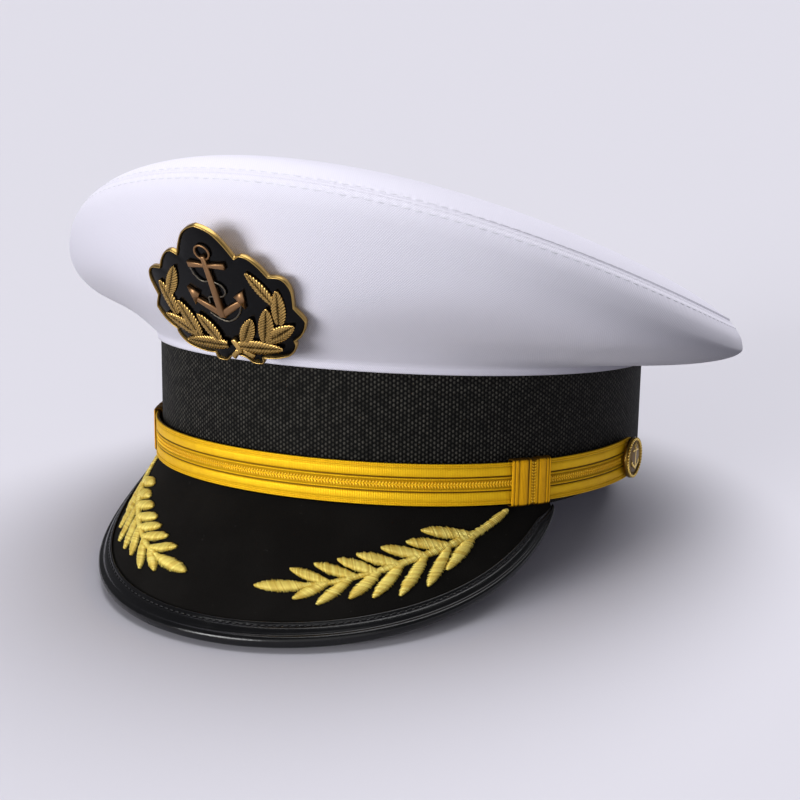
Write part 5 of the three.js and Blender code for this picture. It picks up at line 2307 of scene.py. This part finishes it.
        def tone(point: Vector) -> float:
            """Returns the lightness at a point, high on the ribs and low at the edge."""
            away = point - base
            u = away.dot(along) / along.length_squared
            side = away.dot(across) / max(0.1, half_at(u))
            worn = 0.25 + 0.75 * groove(u, side) - 0.6 * bell(side, 0, 0.14)
            return max(0.0, worn) * min(1.0, (point.z - lift) / 0.6)

        steps = max(30, ribs * 6)
        return toned(Loft(steps, 24, place).solid(), tone)

    def anchor(self) -> Mesh:
        """Makes the anchor."""
        whole = Anchor().solid(1.7)
        bmesh.ops.translate(whole, verts=whole.verts, vec=(0, self.anchor_up, 0))
        return self.bent(whole, self.thickness - 0.42)

    def rope(self) -> Mesh:
        """Makes the rope: from the stock in an S behind the shank, and under the arms."""
        spots = [
            (-7.0, 14.5), (-6.6, 12.7), (-5.7, 11.0), (-3.7, 9.4), (0.0, 9.8), (3.2, 8.2), (4.0, 6.5),
            (3.7, 4.9), (1.8, 3.6), (-1.0, 3.4), (-3.4, 3.0), (-3.8, 0.6),
        ]
        under = [(-5.3, -3.5), (-3.2, -5.2), (0.4, -6.6), (3.5, -5.6), (6.3, -3.3), (8.1, 0.0), (9.2, 4.3)]
        whole = merged([self.cord(spots, 0.36, 0.6), self.cord(under, 0.36, 0.35)])
        return self.bent(whole, self.thickness - 0.42)

    def cord(self, spots: Sequence[Pair], radius: float, height: float) -> Mesh:
        """Makes a thin twisted cord through a few spots.

        Args:
            spots: Flat spots on its way.
            radius: Its radius.
            height: Height of its middle.

        Returns:
            The closed cord.
        """
        points = [Vector((x, y, 0)) for x, y in spots]
        section = [(math.cos(i * math.pi / 4), math.sin(i * math.pi / 4)) for i in range(8)]

        def place(u: float, across: float, over: float) -> Vector:
            """Returns the point for a place of the sheet."""
            ahead = smooth_way(points, u + TURN_STEP) - smooth_way(points, u - TURN_STEP)
            beside = Vector((-ahead.y, ahead.x, 0)).normalized()
            turn = math.atan2(over, across)
            lay = radius * (1 + 0.16 * math.cos(2 * turn + u * 70))
            return smooth_way(points, u) + beside * across * lay + Vector((0, 0, height + over * lay))

        return sweep(90, section, place)


# Setting


@dataclass(frozen=True)
class Lamp:
    """One wide, soft light that falls evenly over hat and floor.

    Its turn goes from the visor's side towards the wearer's left, its rise is its height over the
    horizon, and its spread is how wide it looks. All three are in degrees.
    """

    name: str
    turn: float
    rise: float
    spread: float
    strength: float


@dataclass(frozen=True)
class Studio:
    """The pale floor, the soft lights and the camera at the photograph's viewing angle."""

    pose: RestPose
    turn: float = math.radians(30.0)
    rise: float = math.radians(7.79)
    roll: float = math.radians(2.98)
    distance: float = 700.9
    aim: float = 25.58
    focal_pixels: float = 1761.4
    right_pixels: float = 4.88
    sensor: float = 36.0
    floor_side: float = 14.0
    floor_colour: Colour = tint(0.63, 0.618, 0.682)
    room_light: float = 0.15
    lamps: tuple[Lamp, ...] = (
        Lamp("key", -20, 3, 36, 3.75),
        Lamp("side", 22, 12, 60, 0.55),
        Lamp("over", 176, 66, 60, 3.1),
    )

    def build(self) -> None:
        """Makes the setting."""
        self.floor()
        self.camera()
        self.world()
        for lamp in self.lamps:
            self.light(lamp)
        bpy.context.scene.view_settings.view_transform = "Standard"

    def floor(self) -> None:
        """Makes the floor."""
        bm = bmesh.new()
        bmesh.ops.create_grid(bm, x_segments=1, y_segments=1, size=self.floor_side / 2)
        mesh = bpy.data.meshes.new("floor")
        bm.to_mesh(mesh)
        bm.free()
        recipe = Recipe("pale_floor")
        recipe.set(base_color=self.floor_colour, roughness=0.9, specular_ior_level=0.1)
        mesh.materials.append(recipe.material)
        floor = bpy.data.objects.new("floor", mesh)
        floor.location.z = -0.0002
        floor.visible_diffuse = False
        bpy.context.scene.collection.objects.link(floor)

    def camera(self) -> None:
        """Sets the camera where the photograph was taken from, carried with the hat as it tips."""
        back = Vector((
            math.sin(self.turn) * math.cos(self.rise),
            -math.cos(self.turn) * math.cos(self.rise),
            math.sin(self.rise),
        ))
        right = Vector((math.cos(self.turn), math.sin(self.turn), 0))
        up = back.cross(right)
        c, s = math.cos(self.roll), math.sin(self.roll)
        axes = Matrix((c * right + s * up, c * up - s * right, back)).transposed()
        eye = Vector((0, 0, self.aim)) + back * self.distance
        tip = Matrix.Rotation(-self.pose.tilt, 4, "X")
        data = bpy.data.cameras.new("camera")
        data.sensor_width = self.sensor
        data.lens = self.sensor * self.focal_pixels / IMAGE_SIDE
        data.shift_x = -self.right_pixels / IMAGE_SIDE
        camera = bpy.data.objects.new("camera", data)
        spot = self.pose.matrix() @ eye
        camera.matrix_world = Matrix.Translation(spot) @ tip @ axes.to_4x4()
        bpy.context.scene.collection.objects.link(camera)
        bpy.context.scene.camera = camera

    def world(self) -> None:
        """Makes the even light of the room."""
        world = bpy.data.worlds.new("room")
        world.use_nodes = True
        world.node_tree.nodes["Background"].inputs[0].default_value = tint(0.93, 0.93, 1.0)
        world.node_tree.nodes["Background"].inputs[1].default_value = self.room_light
        bpy.context.scene.world = world

    def light(self, lamp: Lamp) -> None:
        """Makes a light.

        Args:
            lamp: Where it stands and how strong it is.
        """
        turn, rise = math.radians(lamp.turn), math.radians(lamp.rise)
        data = bpy.data.lights.new(lamp.name, "SUN")
        data.energy = lamp.strength
        data.angle = math.radians(lamp.spread)
        light = bpy.data.objects.new(lamp.name, data)
        source = Vector((math.sin(turn) * math.cos(rise), -math.cos(turn) * math.cos(rise), math.sin(rise)))
        light.location = source
        light.rotation_euler = (-source).to_track_quat("-Z", "Y").to_euler()
        bpy.context.scene.collection.objects.link(light)


def main() -> None:
    """Builds and dresses the hat."""
    logging.basicConfig(level=logging.INFO, format="%(message)s")
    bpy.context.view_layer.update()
    band = BandForm()
    crown = CrownForm(band)
    visor = VisorForm(band)
    strap = StrapForm(band)
    pose = RestPose.from_frame(band)
    log.info("tipped back %.3f degrees", math.degrees(pose.tilt))
    room = Workroom(pose)
    Studio(pose).build()
    Crown(crown).build(room)
    Band(band).build(room)
    Visor(visor).build(room)
    ChinStrap(strap).build(room)
    Badge(crown).build(room)
    for side in Side:
        Spray(visor, side).build(room)
        SideButton(strap, side).build(room)


if __name__ == "__main__":
    main()
